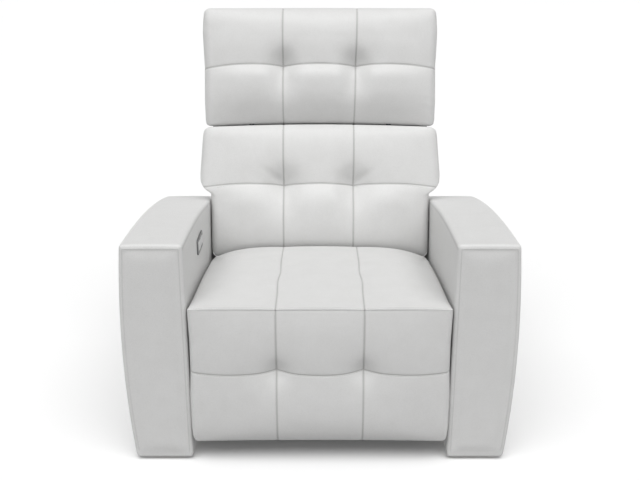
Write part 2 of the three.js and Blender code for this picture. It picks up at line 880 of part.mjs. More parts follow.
function seatSideRail() {
  const spacer = box(
    hingePlateX,
    sideInnerX + JOIN_OVER,
    seatFrame.rearY - tube.width / 2,
    seatFrame.sideRearY,
    railLowZ,
    tube.topZ,
  );
  const ear = bandOutline([
    [seatFrame.rearY, (railLowZ + tube.topZ) / 2, tube.height / 2],
    [hingeY, hingeZ, backHinge.ear],
    [seatFrame.sideRearY, tube.topZ - backHinge.pin, backHinge.pin],
  ]);
  return joined(
    box(sideInnerX, sideOuterX, seatFrame.frontY, seatFrame.sideRearY, railLowZ, tube.topZ),
    spacer,
    alongX(ear, hingePlateX, hingePlateX + swing.plate),
    rod(hingePlateX + JOIN_OVER, postOuterX + PIN_PROUD, hingeY, hingeZ, backHinge.pin),
  );
}

function crossRail(frontY, halfWidth) {
  return box(-halfWidth, halfWidth, frontY, frontY + tube.width, railLowZ, tube.topZ);
}

function swingLugRail(frontY, halfWidth, pivotY) {
  const [topY, topZ] = swingTop(pivotY);
  const parts = [crossRail(frontY, halfWidth)];
  const discRadius = tube.height / 2 - drive.standInset;
  const railDisc = [frontY + tube.width / 2, railLowZ + discRadius, discRadius];
  const shape = bandOutline([[topY, topZ, swing.ear], railDisc]);
  for (const sign of [-1, 1]) {
    const pinInner = sign * (swingPlateX - CUT_OVER);
    const lugOuter = sign * (swingLugX + swing.lug);
    parts.push(alongX(shape, sign * swingLugX, lugOuter));
    parts.push(rod(pinInner, lugOuter, topY, topZ, swing.pin));
  }
  return joined(...parts);
}

const stayPivotY = lift.pivotY + lift.stayStep;
const linkPinEnd = linkX + lift.plate + PIN_PROUD;
function hangerRail() {
  const corner = tube.height / 2 - drive.standInset;
  const parts = [crossRail(seatFrame.frontY, sideInnerX - SEAT_GAP)];
  const shape = bandOutline([
    [seatFrame.frontY + corner, railLowZ + corner, corner],
    [lift.pivotY, lift.pivotZ, lift.hangerEar],
    [stayPivotY, lift.pivotZ, lift.hangerEar],
    [stayPivotY, railLowZ - corner, corner],
  ]);
  for (const sign of [-1, 1]) {
    parts.push(alongX(shape, sign * hangerX, sign * (hangerX + lift.plate)));
    for (const y of [lift.pivotY, stayPivotY]) {
      parts.push(rod(sign * hangerX, sign * linkPinEnd, y, lift.pivotZ, lift.pin));
    }
  }
  return joined(...parts);
}

onBothSides((side, sign) => addPiece(`seat_side_rail_${side}`, mirrorX(seatSideRail(), sign), STEEL));
addPiece("seat_front_rail", hangerRail(), STEEL);
addPiece("seat_middle_rail", swingLugRail(seatFrame.midY, sideInnerX - SEAT_GAP, swing.frontY), STEEL);
addPiece("seat_rear_rail", swingLugRail(seatFrame.rearY, hingePlateX - SEAT_GAP, swing.rearY), STEEL);
const webbingZ = tube.topZ + SEAT_GAP;
const webbingHalf = sideOuterX - webbing.inset;
addPiece(
  "seat_webbing",
  box(-webbingHalf, webbingHalf, seatFrame.frontY, seat.rearY, webbingZ, webbingZ + webbing.thick),
  WEBBING,
);

// Seat cushion: a front lip over the footrest pad, a crowned top with two channels, lower at the arms
const SEAT_TOP_SHARES = [
  0, 0.012, 0.035, 0.07, 0.13, 0.2, 0.28, 0.36, 0.45, 0.54, 0.63, 0.72, 0.8, 0.87, 0.93, 0.97, 1,
];
function seatTop(x, share, lowered) {
  const side = seat.sideFrontZ + (seat.sideRearZ - seat.sideFrontZ) * share ** seat.sideFallPower;
  const fall = (seat.midRearZ - seat.noseZ) * share ** seat.midFallPower;
  const middle = seat.noseZ + seat.noseCrown * Math.sin(Math.PI * share) + fall;
  const across = 1 - Math.abs(x / seatHalfWidth) ** FLAT_POWER;
  const along = Math.sqrt(fullness(share, seat.puffStartShare, seat.puffEndShare));
  const puff = seat.panelCrown * acrossFullness(x, seatHalfWidth) * along;
  return side + (middle - side) * across + puff - lowered;
}
// Underside of the lip, from the nose back to the front face
function lipUnderside(y) {
  const share = Math.min((y - seat.noseY) / (seat.faceY - seat.noseY), 1);
  const noseLow = seat.noseZ - seat.noseThick;
  return noseLow + (seat.faceZ - noseLow) * share;
}
function seatRing(x) {
  const inset = drawnIn(seatHalfWidth - Math.abs(x), seat.softRadius);
  const y0 = seat.noseY + inset;
  const y1 = seat.rearY - inset;
  const ring = SEAT_TOP_SHARES.map((share) => {
    const y = y0 + share * (y1 - y0);
    const edge = drawnIn(y - y0, seat.noseThick / 2) + drawnIn(y1 - y, seat.softRadius);
    const z = seatTop(x, share, inset + edge);
    return [y, y < seat.faceY ? Math.max(z, lipUnderside(y) + seat.lipLeast) : z];
  });
  const lowZ = webbingZ + webbing.thick + SEAT_GAP;
  const faceY = seat.faceY + inset;
  const lipY = y0 + seat.noseThick / 2;
  const corner = seat.softRadius / 2;
  ring.push([y1, lowZ + seat.softRadius], [y1 - corner, lowZ], [faceY + corner, lowZ]);
  ring.push([faceY, lowZ + seat.softRadius], [faceY, seat.faceZ], [lipY, lipUnderside(lipY)]);
  return ring;
}
addPiece("seat_cushion", throughRings(ringPlaces(seatHalfWidth), seatRing), LEATHER);

// Footrest pad on its steel plate: tufted front, top sloped to lie under the lip of the seat
function padRing(x) {
  const form = {
    halfWidth: padHalfWidth,
    softRadius: pad.softRadius,
    topRadius: pad.topRadius,
    low: pad.bottomZ,
    high: pad.topFrontZ,
    tuft: pad.tuftZ,
    front: pad.frontY + pad.crown,
    crown: pad.crown,
    panelCrown: pad.panelCrown,
    tuftDepth: pad.tuftDepth,
  };
  const inset = drawnIn(form.halfWidth - Math.abs(x), form.softRadius);
  const ring = tuftedFront(x, form);
  const backY = pad.backY - inset / 2;
  ring.push([backY, pad.topBackZ - inset], [backY, pad.bottomZ + inset + pad.rearRise]);
  return ring;
}
addPiece("footrest_cushion", throughRings(ringPlaces(padHalfWidth), padRing), LEATHER);

// Footrest links. Each point of the chain is worked out from the seam line that the pad turns about.
const liftArm = [lift.padPivotY - lift.seamY, lift.padPivotZ - lift.seamZ];
const elbow = [lift.pivotY + liftArm[0], lift.pivotZ + liftArm[1]];
const stayElbow = [elbow[0] + lift.stayStep, elbow[1]];
const padElbow = [elbow[0], elbow[1] - lift.padStep];
const padPivot = [lift.padPivotY, lift.padPivotZ];
const lowPadPivot = [lift.padPivotY, lift.padPivotZ - lift.padStep];
const linkHole = lift.pin + HOLE_GAP;
const disc = ([y, z], radius = lift.ear) => [y, z, radius];
const reachPinEnd = reachX + lift.plate + PIN_PROUD;
const innerPinEnd = linkX - PIN_PROUD;

function liftLink() {
  const length = Math.hypot(...liftArm);
  const tieY = lift.pivotY + (liftArm[0] * lift.tieDistance) / length;
  const tieZ = lift.pivotZ + (liftArm[1] * lift.tieDistance) / length;
  const pivot = [lift.pivotY, lift.pivotZ];
  const shape = bandOutline([disc(pivot), disc(padElbow), disc(elbow)], [disc(pivot, linkHole)]);
  const tieHalf = linkX + JOIN_OVER;
  const parts = [rod(-tieHalf, tieHalf, tieY, tieZ, lift.tieRadius)];
  for (const sign of [-1, 1]) {
    parts.push(alongX(shape, sign * linkX, sign * (linkX + lift.plate)));
    for (const [y, z] of [elbow, padElbow]) {
      parts.push(rod(sign * tieHalf, sign * reachPinEnd, y, z, lift.pin));
    }
  }
  return joined(...parts);
}

function stayLink() {
  const pivot = [stayPivotY, lift.pivotZ];
  const ends = [pivot, stayElbow];
  const shape = bandOutline(
    ends.map((end) => disc(end)),
    ends.map((end) => disc(end, linkHole)),
  );
  return alongX(shape, linkX, linkX + lift.plate);
}

function reachLink() {
  const shape = bandOutline([disc(padPivot), disc(elbow), disc(stayElbow)], [disc(elbow, linkHole)]);
  return joined(
    alongX(shape, reachX, reachX + lift.plate),
    rod(innerPinEnd, reachX + JOIN_OVER, ...padPivot, lift.pin),
    rod(innerPinEnd, reachX + JOIN_OVER, ...stayElbow, lift.pin),
  );
}

function padLink() {
  const shape = bandOutline([disc(lowPadPivot), disc(padElbow)], [disc(padElbow, linkHole)]);
  return joined(
    alongX(shape, reachX, reachX + lift.plate),
    rod(innerPinEnd, reachX + JOIN_OVER, ...lowPadPivot, lift.pin),
  );
}

function footrestPlate() {
  const boardHalf = padHalfWidth - pad.boardInset;
  const frontY = pad.backY + SEAT_GAP;
  const backY = frontY + pad.board;
  const board = box(
    -boardHalf,
    boardHalf,
    frontY,
    backY,
    pad.boardBottomZ,
    pad.boardTopZ,
  );
  const parts = [board];
  const plateEnds = [padPivot, lowPadPivot].map(([, z]) => [backY, z, lift.flange]);
  const shape = bandOutline(
    [disc(lowPadPivot), disc(padPivot), ...plateEnds],
    [disc(padPivot, linkHole), disc(lowPadPivot, linkHole)],
  );
  const bracketOuterX = linkX + lift.plate;
  for (const sign of [-1, 1]) {
    const flange = box(
      Math.min(sign * (bracketOuterX - lift.flangeWidth), sign * bracketOuterX),
      Math.max(sign * (bracketOuterX - lift.flangeWidth), sign * bracketOuterX),
      backY - JOIN_OVER,
      backY + lift.flange,
      lift.flangeBottomZ,
      lift.flangeTopZ,
    );
    parts.push(flange, alongX(shape, sign * linkX, sign * bracketOuterX));
  }
  return joined(...parts);
}

addPiece("footrest_lift_link", liftLink(), ZINC);
onBothSides((side, sign) => {
  addPiece(`footrest_stay_link_${side}`, mirrorX(stayLink(), sign), ZINC);
  addPiece(`footrest_reach_link_${side}`, mirrorX(reachLink(), sign), ZINC);
  addPiece(`footrest_pad_link_${side}`, mirrorX(padLink(), sign), ZINC);
});
addPiece("footrest_plate", footrestPlate(), STEEL);

// Actuator that lifts the footrest, hung under the seat frame
const liftTieY = lift.pivotY + (liftArm[0] * lift.tieDistance) / Math.hypot(...liftArm);
const footMotorFront = seatFrame.midY - footDrive.motorGap;
const underRailZ = railLowZ - SEAT_GAP;
function footMotor() {
  const railLow = footDrive.railTopZ - drive.railHeight;
  const standHalf = drive.railHalf - drive.standInset;
  return joined(
    box(
      -drive.motorHalf,
      drive.motorHalf,
      footMotorFront,
      footMotorFront + footDrive.motorLength,
      footDrive.motorZ,
      underRailZ,
    ),
    box(
      -drive.railHalf,
      drive.railHalf,
      footDrive.railFront,
      footMotorFront + CUT_OVER,
      railLow,
      footDrive.railTopZ,
    ),
    box(
      -standHalf,
      standHalf,
      seatFrame.frontY,
      seatFrame.frontY + tube.width,
      footDrive.railTopZ - JOIN_OVER,
      underRailZ,
    ),
  );
}
addPiece("footrest_motor", footMotor(), BLACK_PLASTIC);
addPiece(
  "footrest_carriage",
  carriage(
    liftTieY,
    footDrive.railTopZ - drive.railHeight,
    footDrive.railTopZ,
    footDrive.forkZ,
    footDrive.slotTopZ,
  ),
  ZINC,
);

// Frame of the back, in the lean of the back: y is behind the front plane and z is up along it
const backPin = [backHinge.t, backHinge.s];
function backPost() {
  const innerX = postOuterX - backFrame.postWidth;
  const topS = backFrame.topRailS + backFrame.railHeight;
  const post = box(innerX, postOuterX, backFrame.frontT, backFrame.rearT, backPin[1], topS);
  const earTop = [backFrame.frontT + backHinge.ear, backFrame.lowRailS, backHinge.ear];
  const ear = alongX(bandOutline([[...backPin, backHinge.ear], earTop]), innerX, postOuterX);
  const boreRadius = backHinge.pin + HOLE_GAP;
  const bore = rod(innerX - CUT_OVER, postOuterX + CUT_OVER, ...backPin, boreRadius);
  return cut(joined(post, ear), bore);
}

const headPin = [head.pinT, head.pinS];
function backTopRail() {
  const half = postOuterX - backFrame.postWidth - SEAT_GAP;
  const topS = backFrame.topRailS + backFrame.railHeight;
  const parts = [box(-half, half, backFrame.frontT, backFrame.rearT, backFrame.topRailS, topS)];
  const foot = [armStrip.riserT, topS - armStrip.radius, armStrip.radius];
  const corner = [armStrip.riserT, head.pinS, armStrip.radius];
  const riser = bandOutline([foot, corner]);
  const strip = bandOutline([[...headPin, armStrip.radius], corner]);
  const pinReach = armStrip.x + armStrip.step + armStrip.thick + PIN_PROUD;
  for (const sign of [-1, 1]) {
    const x0 = sign * armStrip.x;
    const x1 = sign * (armStrip.x + armStrip.thick);
    parts.push(alongX(riser, x0, x1), alongX(strip, x0, x1));
    parts.push(rod(x0, sign * pinReach, ...headPin, armStrip.pin));
  }
  const rodHole = alongS(headDrive.rod + HOLE_GAP, backFrame.topRailS - CUT_OVER, topS + CUT_OVER);
  return cut(joined(...parts), rodHole);
}

function backLowRail() {
  const half = postOuterX - backFrame.postWidth - SEAT_GAP;
  const t0 = (backFrame.frontT + backFrame.rearT - backFrame.lowRailThick) / 2;
  const topS = backFrame.lowRailS + backFrame.lowRailHeight;
  return box(-half, half, t0, t0 + backFrame.lowRailThick, backFrame.lowRailS, topS);
}

onBothSides((side, sign) => addPiece(`back_post_${side}`, mirrorX(backPost(), sign), STEEL, backGroup));
addPiece("back_top_rail", backTopRail(), STEEL, backGroup);
addPiece("back_lower_rail", backLowRail(), STEEL, backGroup);
const backWebHalf = postOuterX - backFrame.webbingEdge;
addPiece(
  "back_webbing",
  box(
    -backWebHalf,
    backWebHalf,
    backFrame.frontT - SEAT_GAP - backFrame.webbingThick,
    backFrame.frontT - SEAT_GAP,
    backFrame.webbingEdge,
    backFrame.topRailS + backFrame.webbingEdge,
  ),
  WEBBING,
  backGroup,
);

// Back cushion: tufted front, side wings that reach over the arms, a lip that meets the headrest
function backRing(x) {
  const width = Math.abs(x);
  const onWing = width > backHalfWidth;
  const lipS = back.topS;
  const hollowS = head.pinS - armStrip.radius - back.jointRoom;
  const inset = drawnIn(wingHalfWidth - width, back.softRadius);
  const form = {
    halfWidth: wingHalfWidth,
    softRadius: back.softRadius,
    low: onWing ? back.wingFrontS : back.bottomS,
    high: lipS,
    tuft: back.tuftS,
    front: 0,
    crown: back.crown,
    panelCrown: back.panelCrown,
    tuftDepth: back.tuftDepth,
  };
  const ring = onWing ? wingFront(x, form) : tuftedFront(x, form);
  if (onWing) {
    const rearT = back.wingThick - inset / 2;
    const lipT = Math.min(back.lipThick + 2 * inset, rearT - CUT_OVER);
    const midS = (back.wingRearS + lipS) / 2;
    const rearTopS = hollowS - inset;
    ring.push([lipT, lipS - inset], [lipT + back.lipRake, rearTopS], [rearT, rearTopS]);
    ring.push([rearT, midS], [rearT, back.wingRearS + inset]);
    return ring;
  }
  const rearT = back.thick - SEAT_GAP;
  ring.push([back.lipThick, lipS], [back.lipThick + back.lipRake, hollowS], [rearT, hollowS]);
  ring.push([rearT, (back.bottomS + hollowS) / 2], [rearT, back.bottomS + back.softRadius / 2]);
  return ring;
}

// The front of a wing starts above the arm, with the same crown as the panel beside it
function wingFront(x, form) {
  const full = tuftedFront(x, { ...form, low: back.bottomS });
  const endInset = drawnIn(form.halfWidth - Math.abs(x), form.softRadius);
  const low = form.low + endInset;
  const high = form.high - endInset;
  return FRONT_SHARES.map((share) => {
    const along = low + share * (high - low);
    const edge = drawnIn(Math.min(along - low, high - along), form.softRadius) + endInset;
    const nearest = full.reduce((best, point) =>
      Math.abs(point[1] - along) < Math.abs(best[1] - along) ? point : best,
    );
    return [Math.max(nearest[0], edge - form.crown), along];
  });
}
const wingPlaces = [
  backHalfWidth + CUT_OVER,
  wingHalfWidth - back.softRadius,
  wingHalfWidth - back.softRadius / 4,
  wingHalfWidth,
];
const backForm = throughRings(ringPlaces(backHalfWidth, wingPlaces), backRing);
addPiece("back_cushion", backForm, LEATHER, backGroup);

// Padded panel over a rear face, open towards the frame and at its bottom, and at its top with no top wall
function tray(halfWidth, wall, frontT, rearT, board, bottomS, topS, topWall) {
  const shell = box(-halfWidth, halfWidth, frontT, rearT, bottomS, topS);
  const inside = halfWidth - wall;
  const room = box(-inside, inside, frontT - CUT_OVER, rearT - board, bottomS - CUT_OVER, topS - topWall);
  return cut(shell, room);
}
addPiece(
  "back_rear_panel",
  tray(
    arm.innerX - backPanel.sideRoom,
    backPanel.wall,
    backPanel.frontT,
    backPanel.rearT,
    backPanel.board,
    backPanel.bottomS,
    backPanel.topS,
    -CUT_OVER,
  ),
  LEATHER,
  backGroup,
);

// Headrest: steel plate with two hinge arms, tufted cushion, padded rear panel
const headPlateT = head.thick + SEAT_GAP;
function headrestPlate() {
  const plateHalf = head.halfWidth - head.plateInset;
  const plateBox = box(
    -plateHalf,
    plateHalf,
    headPlateT,
    headPlateT + head.plate,
    head.plateBottomS,
    head.plateTopS,
  );
  const parts = [plateBox];
  const x = armStrip.x + armStrip.step;
  const hole = armStrip.pin + HOLE_GAP;
  const cornerDisc = [headPlateT + armStrip.radius, head.pinS, armStrip.radius];
  const plateDisc = [headPlateT + CUT_OVER, head.plateBottomS + armStrip.radius, CUT_OVER];
  const shape = bandOutline([[...headPin, armStrip.radius], cornerDisc], [[...headPin, hole]]);
  const riser = bandOutline([cornerDisc, plateDisc]);
  for (const sign of [-1, 1]) {
    parts.push(alongX(shape, sign * x, sign * (x + armStrip.thick)));
    parts.push(alongX(riser, sign * x, sign * (x + armStrip.thick)));
  }
  parts.push(
    box(
      -headDrive.lugHalf,
      headDrive.lugHalf,
      headPlateT + JOIN_OVER,
      headDrive.midT + headDrive.rod + headDrive.rod,
      head.plateBottomS,
      head.plateBottomS + headDrive.lugThick,
    ),
  );
  return joined(...parts);
}
addPiece("headrest_plate", headrestPlate(), STEEL, backGroup);

function headRing(x) {
  const lipS = back.topS + head.lipGap;
  const hollowS = head.pinS + armStrip.radius + head.jointRoom;
  const inset = drawnIn(head.halfWidth - Math.abs(x), back.softRadius);
  const form = {
    halfWidth: head.halfWidth,
    softRadius: back.softRadius,
    low: lipS,
    high: head.topS,
    tuft: head.tuftS,
    front: 0,
    crown: back.crown,
    panelCrown: back.panelCrown,
    tuftDepth: back.tuftDepth,
  };
  const ring = tuftedFront(x, form);
  const rearT = head.thick - inset / 2;
  const lipT = back.lipThick + 2 * inset;
  ring.push([lipT + back.softRadius, head.topS - inset], [rearT - back.softRadius, head.topS - inset]);
  ring.push([rearT, head.topS - inset - back.softRadius], [rearT, hollowS + inset]);
  ring.push([lipT + back.lipRake, hollowS + inset], [lipT, lipS + inset]);
  return ring;
}
addPiece("headrest_cushion", throughRings(ringPlaces(head.halfWidth), headRing), LEATHER, backGroup);
addPiece(
  "headrest_rear_panel",
  tray(
    head.halfWidth,
    head.panelWall,
    headPlateT,
    head.panelRearT,
    head.panelBoard,
    head.panelBottomS,
    head.topS - back.softRadius,
    head.panelWall / 2,
  ),
  LEATHER,
  backGroup,
);

// Small actuator of the headrest: body on the top rail, rod under the lug of the plate
const rodTopS = head.plateBottomS - headDrive.travelRoom;
const rodLowS = headDrive.bottomS + headDrive.rodStart;
addPiece(
  "headrest_motor",
  cut(
    box(
      -headDrive.half,
      headDrive.half,
      backFrame.frontT,
      backFrame.rearT - headDrive.rod / 2,
      headDrive.bottomS,
      backFrame.topRailS - SEAT_GAP,
    ),
    alongS(headDrive.rod + HOLE_GAP, rodLowS - HOLE_GAP, backFrame.topRailS + CUT_OVER),
  ),
  BLACK_PLASTIC,
  backGroup,
);
function alongS(radius, s0, s1) {
  const geometry = new THREE.CylinderGeometry(radius, radius, s1 - s0, PIN_SIDES);
  return geometry.rotateX(Math.PI / 2).translate(0, headDrive.midT, (s0 + s1) / 2);
}
addPiece("headrest_rod", alongS(headDrive.rod, rodLowS, rodTopS), ZINC, backGroup);

// Switch plate on the inner face of the arm at -X: bezel, housing in the arm, two sprung buttons
function roundedBar(length, height, corner, y = plate.y) {
  const halfY = length / 2 - corner;
  const halfZ = height / 2 - corner;
  return bandOutline([
    [y - halfY, plate.z - halfZ, corner],
    [y + halfY, plate.z - halfZ, corner],
    [y + halfY, plate.z + halfZ, corner],
    [y - halfY, plate.z + halfZ, corner],
  ]);
}
const bezelX = -arm.innerX + SEAT_GAP;
const bezelFaceX = bezelX + plate.proud;
const buttonPlaces = [
  ["recline_button", plate.y - plate.buttonStep / 2],
  ["upright_button", plate.y + plate.buttonStep / 2],
];
function buttonOutline(y, room) {
  const length = plate.buttonLength + 2 * room;
  return roundedBar(length, plate.buttonHeight + 2 * room, plate.buttonCorner, y);
}
const buttonRooms = buttonPlaces.map(([, y]) =>
  alongX(buttonOutline(y, plate.buttonGap), bezelX - CUT_OVER, bezelFaceX + CUT_OVER),
);
addPiece(
  "switch_bezel",
  cut(alongX(roundedBar(plate.length, plate.height, plate.corner), bezelX, bezelFaceX), ...buttonRooms),
  ZINC,
);
const housingX = bezelX - SEAT_GAP;
addPiece(
  "switch_housing",
  alongX(
    roundedBar(plate.housingLength, plate.housingHeight, plate.buttonCorner),
    housingX - plate.housingDepth,
    housingX,
  ),
  BLACK_PLASTIC,
);
const buttonX = housingX + plate.travel + SEAT_GAP;
for (const [name, y] of buttonPlaces) {
  const button = alongX(buttonOutline(y, 0), buttonX, bezelFaceX + plate.buttonProud);
  addPiece(name, button, BLACK_PLASTIC);
}

// The origin is under the middle of the whole depth
const whole = new THREE.Box3().setFromObject(object, true);
object.position.y = -(whole.min.y + whole.max.y) / 2;

export default object;
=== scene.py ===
"""Looks of a cinema recliner seat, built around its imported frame.

Leather cushions with sewn channels and tufts, upholstered arms, a switch plate, a steel mechanism with rivets
and webbing, and a plain studio. Metres, +Z up, and the sitter faces -Y, as in the frame.
"""

import json
import logging
import math
from dataclasses import dataclass, field
from enum import Enum
from functools import cache
from typing import Any, Callable, Sequence

import bmesh
import bpy
import numpy as np
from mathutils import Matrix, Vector
from mathutils.bvhtree import BVHTree

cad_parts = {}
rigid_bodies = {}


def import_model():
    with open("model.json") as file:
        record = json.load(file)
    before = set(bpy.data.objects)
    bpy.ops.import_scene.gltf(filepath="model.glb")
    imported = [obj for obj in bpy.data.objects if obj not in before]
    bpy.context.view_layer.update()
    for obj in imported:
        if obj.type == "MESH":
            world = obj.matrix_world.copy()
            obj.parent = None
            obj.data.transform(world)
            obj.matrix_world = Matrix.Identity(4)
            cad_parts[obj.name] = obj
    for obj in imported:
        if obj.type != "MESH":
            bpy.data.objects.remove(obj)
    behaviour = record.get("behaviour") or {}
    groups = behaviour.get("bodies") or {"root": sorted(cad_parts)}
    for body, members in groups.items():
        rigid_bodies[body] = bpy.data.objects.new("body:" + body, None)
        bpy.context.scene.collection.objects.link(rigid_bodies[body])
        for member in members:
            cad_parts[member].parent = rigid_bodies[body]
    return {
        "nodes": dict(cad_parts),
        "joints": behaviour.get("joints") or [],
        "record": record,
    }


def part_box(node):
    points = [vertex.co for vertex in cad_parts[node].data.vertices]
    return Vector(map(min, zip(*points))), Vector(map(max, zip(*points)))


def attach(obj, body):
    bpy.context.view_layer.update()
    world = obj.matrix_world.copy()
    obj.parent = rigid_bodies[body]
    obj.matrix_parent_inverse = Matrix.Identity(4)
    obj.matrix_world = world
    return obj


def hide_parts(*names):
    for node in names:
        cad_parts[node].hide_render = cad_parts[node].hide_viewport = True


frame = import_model()

logging.basicConfig(level=logging.INFO, format="%(name)s: %(message)s")
LOG = logging.getLogger("recliner")

MM = 0.001
NODES = frame["nodes"]
BODIES = frame["record"]["behaviour"]["bodies"]
BODY_OF = {node: body for body, nodes in BODIES.items() for node in nodes}
Color = tuple[float, float, float]
Point2 = tuple[float, float]
Point3 = tuple[float, float, float]
Placing = Callable[[np.ndarray], np.ndarray]


def linked(name: str, data: Any) -> bpy.types.Object:
    """Puts a new object into the scene.

    Args:
        name: Its name.
        data: Its mesh, light or camera.

    Returns:
        The object.
    """
    made = bpy.data.objects.new(name, data)
    bpy.context.scene.collection.objects.link(made)
    return made


# Shader maths


def set_stops(ramp: bpy.types.ColorRamp, stops: Sequence[Point2]) -> None:
    """Writes grey stops into a colour ramp.

    Args:
        ramp: The ramp.
        stops: Place and value of each stop.
    """
    while len(ramp.elements) < len(stops):
        ramp.elements.new(1.0)
    for element, (place, value) in zip(ramp.elements, stops):
        element.position = place
        element.color = (value, value, value, 1.0)


class Wire:
    """A shader socket that Python arithmetic works on, each operator adding its node."""

    def __init__(self, board: "Board", socket: bpy.types.NodeSocket) -> None:
        """Keeps the socket and the board that it belongs to."""
        self.board = board
        self.socket = socket

    def math(self, operation: str, *others: Any) -> "Wire":
        """Adds a Math node fed by this wire and the others."""
        return self.board.node("ShaderNodeMath", {"operation": operation}, [self, *others])

    def __add__(self, other: Any) -> "Wire":
        """Sum."""
        return self.math("ADD", other)

    __radd__ = __add__

    def __sub__(self, other: Any) -> "Wire":
        """Difference."""
        return self.math("SUBTRACT", other)

    def __rsub__(self, other: Any) -> "Wire":
        """Difference with a number on the left."""
        return self.board.node("ShaderNodeMath", {"operation": "SUBTRACT"}, [other, self])

    def __mul__(self, other: Any) -> "Wire":
        """Product."""
        return self.math("MULTIPLY", other)

    __rmul__ = __mul__

    def clamped(self) -> "Wire":
        """The value held between 0 and 1."""
        return self.board.node("ShaderNodeClamp", {}, [self, 0.0, 1.0])


class Board:
    """The node tree of one material, with a method that adds any node."""

    def __init__(self, name: str) -> None:
        """Makes an empty material with a Principled shader.

        Args:
            name: The material's name.
        """
        self.material = bpy.data.materials.new(name)
        self.material.use_nodes = True
        self.tree = self.material.node_tree
        self.shader = self.tree.nodes["Principled BSDF"]

    def node(self, kind: str, settings: dict[str, Any], inputs: Any = (), output: Any = 0) -> Wire:
        """Adds a node.

        Args:
            kind: The node's type name.
            settings: Its properties, set first; "stops" are the (place, value) stops of a ramp.
            inputs: Values or wires, as a list by order or a dict by socket name.
            output: The output that is returned.

        Returns:
            A wire from that output.
        """
        made = self.tree.nodes.new(kind)
        for key, value in settings.items():
            if key == "stops":
                set_stops(made.color_ramp, value)
            else:
                setattr(made, key, value)
        pairs = inputs.items() if isinstance(inputs, dict) else enumerate(inputs)
        for key, value in pairs:
            self.plug(made.inputs[key], value)
        return Wire(self, made.outputs[output])

    def plug(self, socket: bpy.types.NodeSocket, value: Any) -> None:
        """Links a wire into a socket, or writes a plain value there.

        Args:
            socket: The socket.
            value: The wire, number, colour or vector.
        """
        if isinstance(value, Wire):
            self.tree.links.new(value.socket, socket)
        elif isinstance(value, (tuple, list)) and socket.type == "RGBA":
            socket.default_value = (*value, 1.0)
        else:
            socket.default_value = value

    def set(self, **inputs: Any) -> None:
        """Feeds the shader's sockets, their names written with _ for each space."""
        for key, value in inputs.items():
            self.plug(self.shader.inputs[key.replace("_", " ")], value)

    def place(self, scale: Point3 = (1.0, 1.0, 1.0)) -> Wire:
        """Object coordinates, scaled along each axis."""
        coordinates = self.node("ShaderNodeTexCoord", {}, output="Object")
        return self.node("ShaderNodeMapping", {}, {"Vector": coordinates, "Scale": scale})

    def noise(self, where: Wire, size: float, detail: float = 3.0, roughness: float = 0.55) -> Wire:
        """Noise from 0 to 1 whose features are about size metres across."""
        inputs = {"Vector": where, "Scale": 1.0 / size, "Detail": detail, "Roughness": roughness}
        return self.node("ShaderNodeTexNoise", {}, inputs, output=0)

    def cells(self, where: Wire, size: float, feature: str = "F1") -> Wire:
        """Distance to the cells of a Voronoi pattern of about size metres."""
        return self.node("ShaderNodeTexVoronoi", {"feature": feature}, {"Vector": where, "Scale": 1.0 / size})

    def mix(self, share: Any, low: Any, high: Any) -> Wire:
        """Mix of two colours.

        Args:
            share: Share of the second, 0 to 1.
            low: The first.
            high: The second.

        Returns:
            A wire of the mixed colour.
        """
        made = self.tree.nodes.new("ShaderNodeMix")
        made.data_type = "RGBA"
        for key, value in (("Factor", share), ("A", low), ("B", high)):
            sockets = [s for s in made.inputs if s.name == key and s.enabled]
            self.plug(sockets[0], value)
        return Wire(self, next(s for s in made.outputs if s.enabled))

    def bump(self, height: Wire, distance: float, strength: float = 1.0, under: Wire | None = None) -> Wire:
        """Normal from a height field.

        Args:
            height: The heights, 0 to 1.
            distance: Metres at 1.
            strength: How much of it counts.
            under: A normal that it adds to.

        Returns:
            A wire of the normal.
        """
        inputs: dict[str, Any] = {"Height": height, "Distance": distance, "Strength": strength}
        if under is not None:
            inputs["Normal"] = under
        return self.node("ShaderNodeBump", {}, inputs)

    def attribute(self, name: str) -> Wire:
        """A value that the mesh carries on its points."""
        return self.node("ShaderNodeAttribute", {"attribute_name": name}, output="Fac")


# The seam mark on each cover's points paints shade along the seam lines into the leather's colour; SEAM_LINE
# sets how wide that painted line is.
SEAM_SHADE_ATTRIBUTE = "seam"
CROWN_ATTRIBUTE = "crown"
SEAM_LINE = 1.5 * MM


@dataclass(frozen=True)
class Surface:
    """A finish: its slot's name, and a method that lays its nodes out."""

    name: str

    def build(self) -> bpy.types.Material:
        """Makes the finish's material.

        Returns:
            The material.
        """
        board = Board(self.name)
        self.paint(board)
        return board.material

    def paint(self, board: Board) -> None:
        """Lays out the nodes on a board."""
        raise NotImplementedError


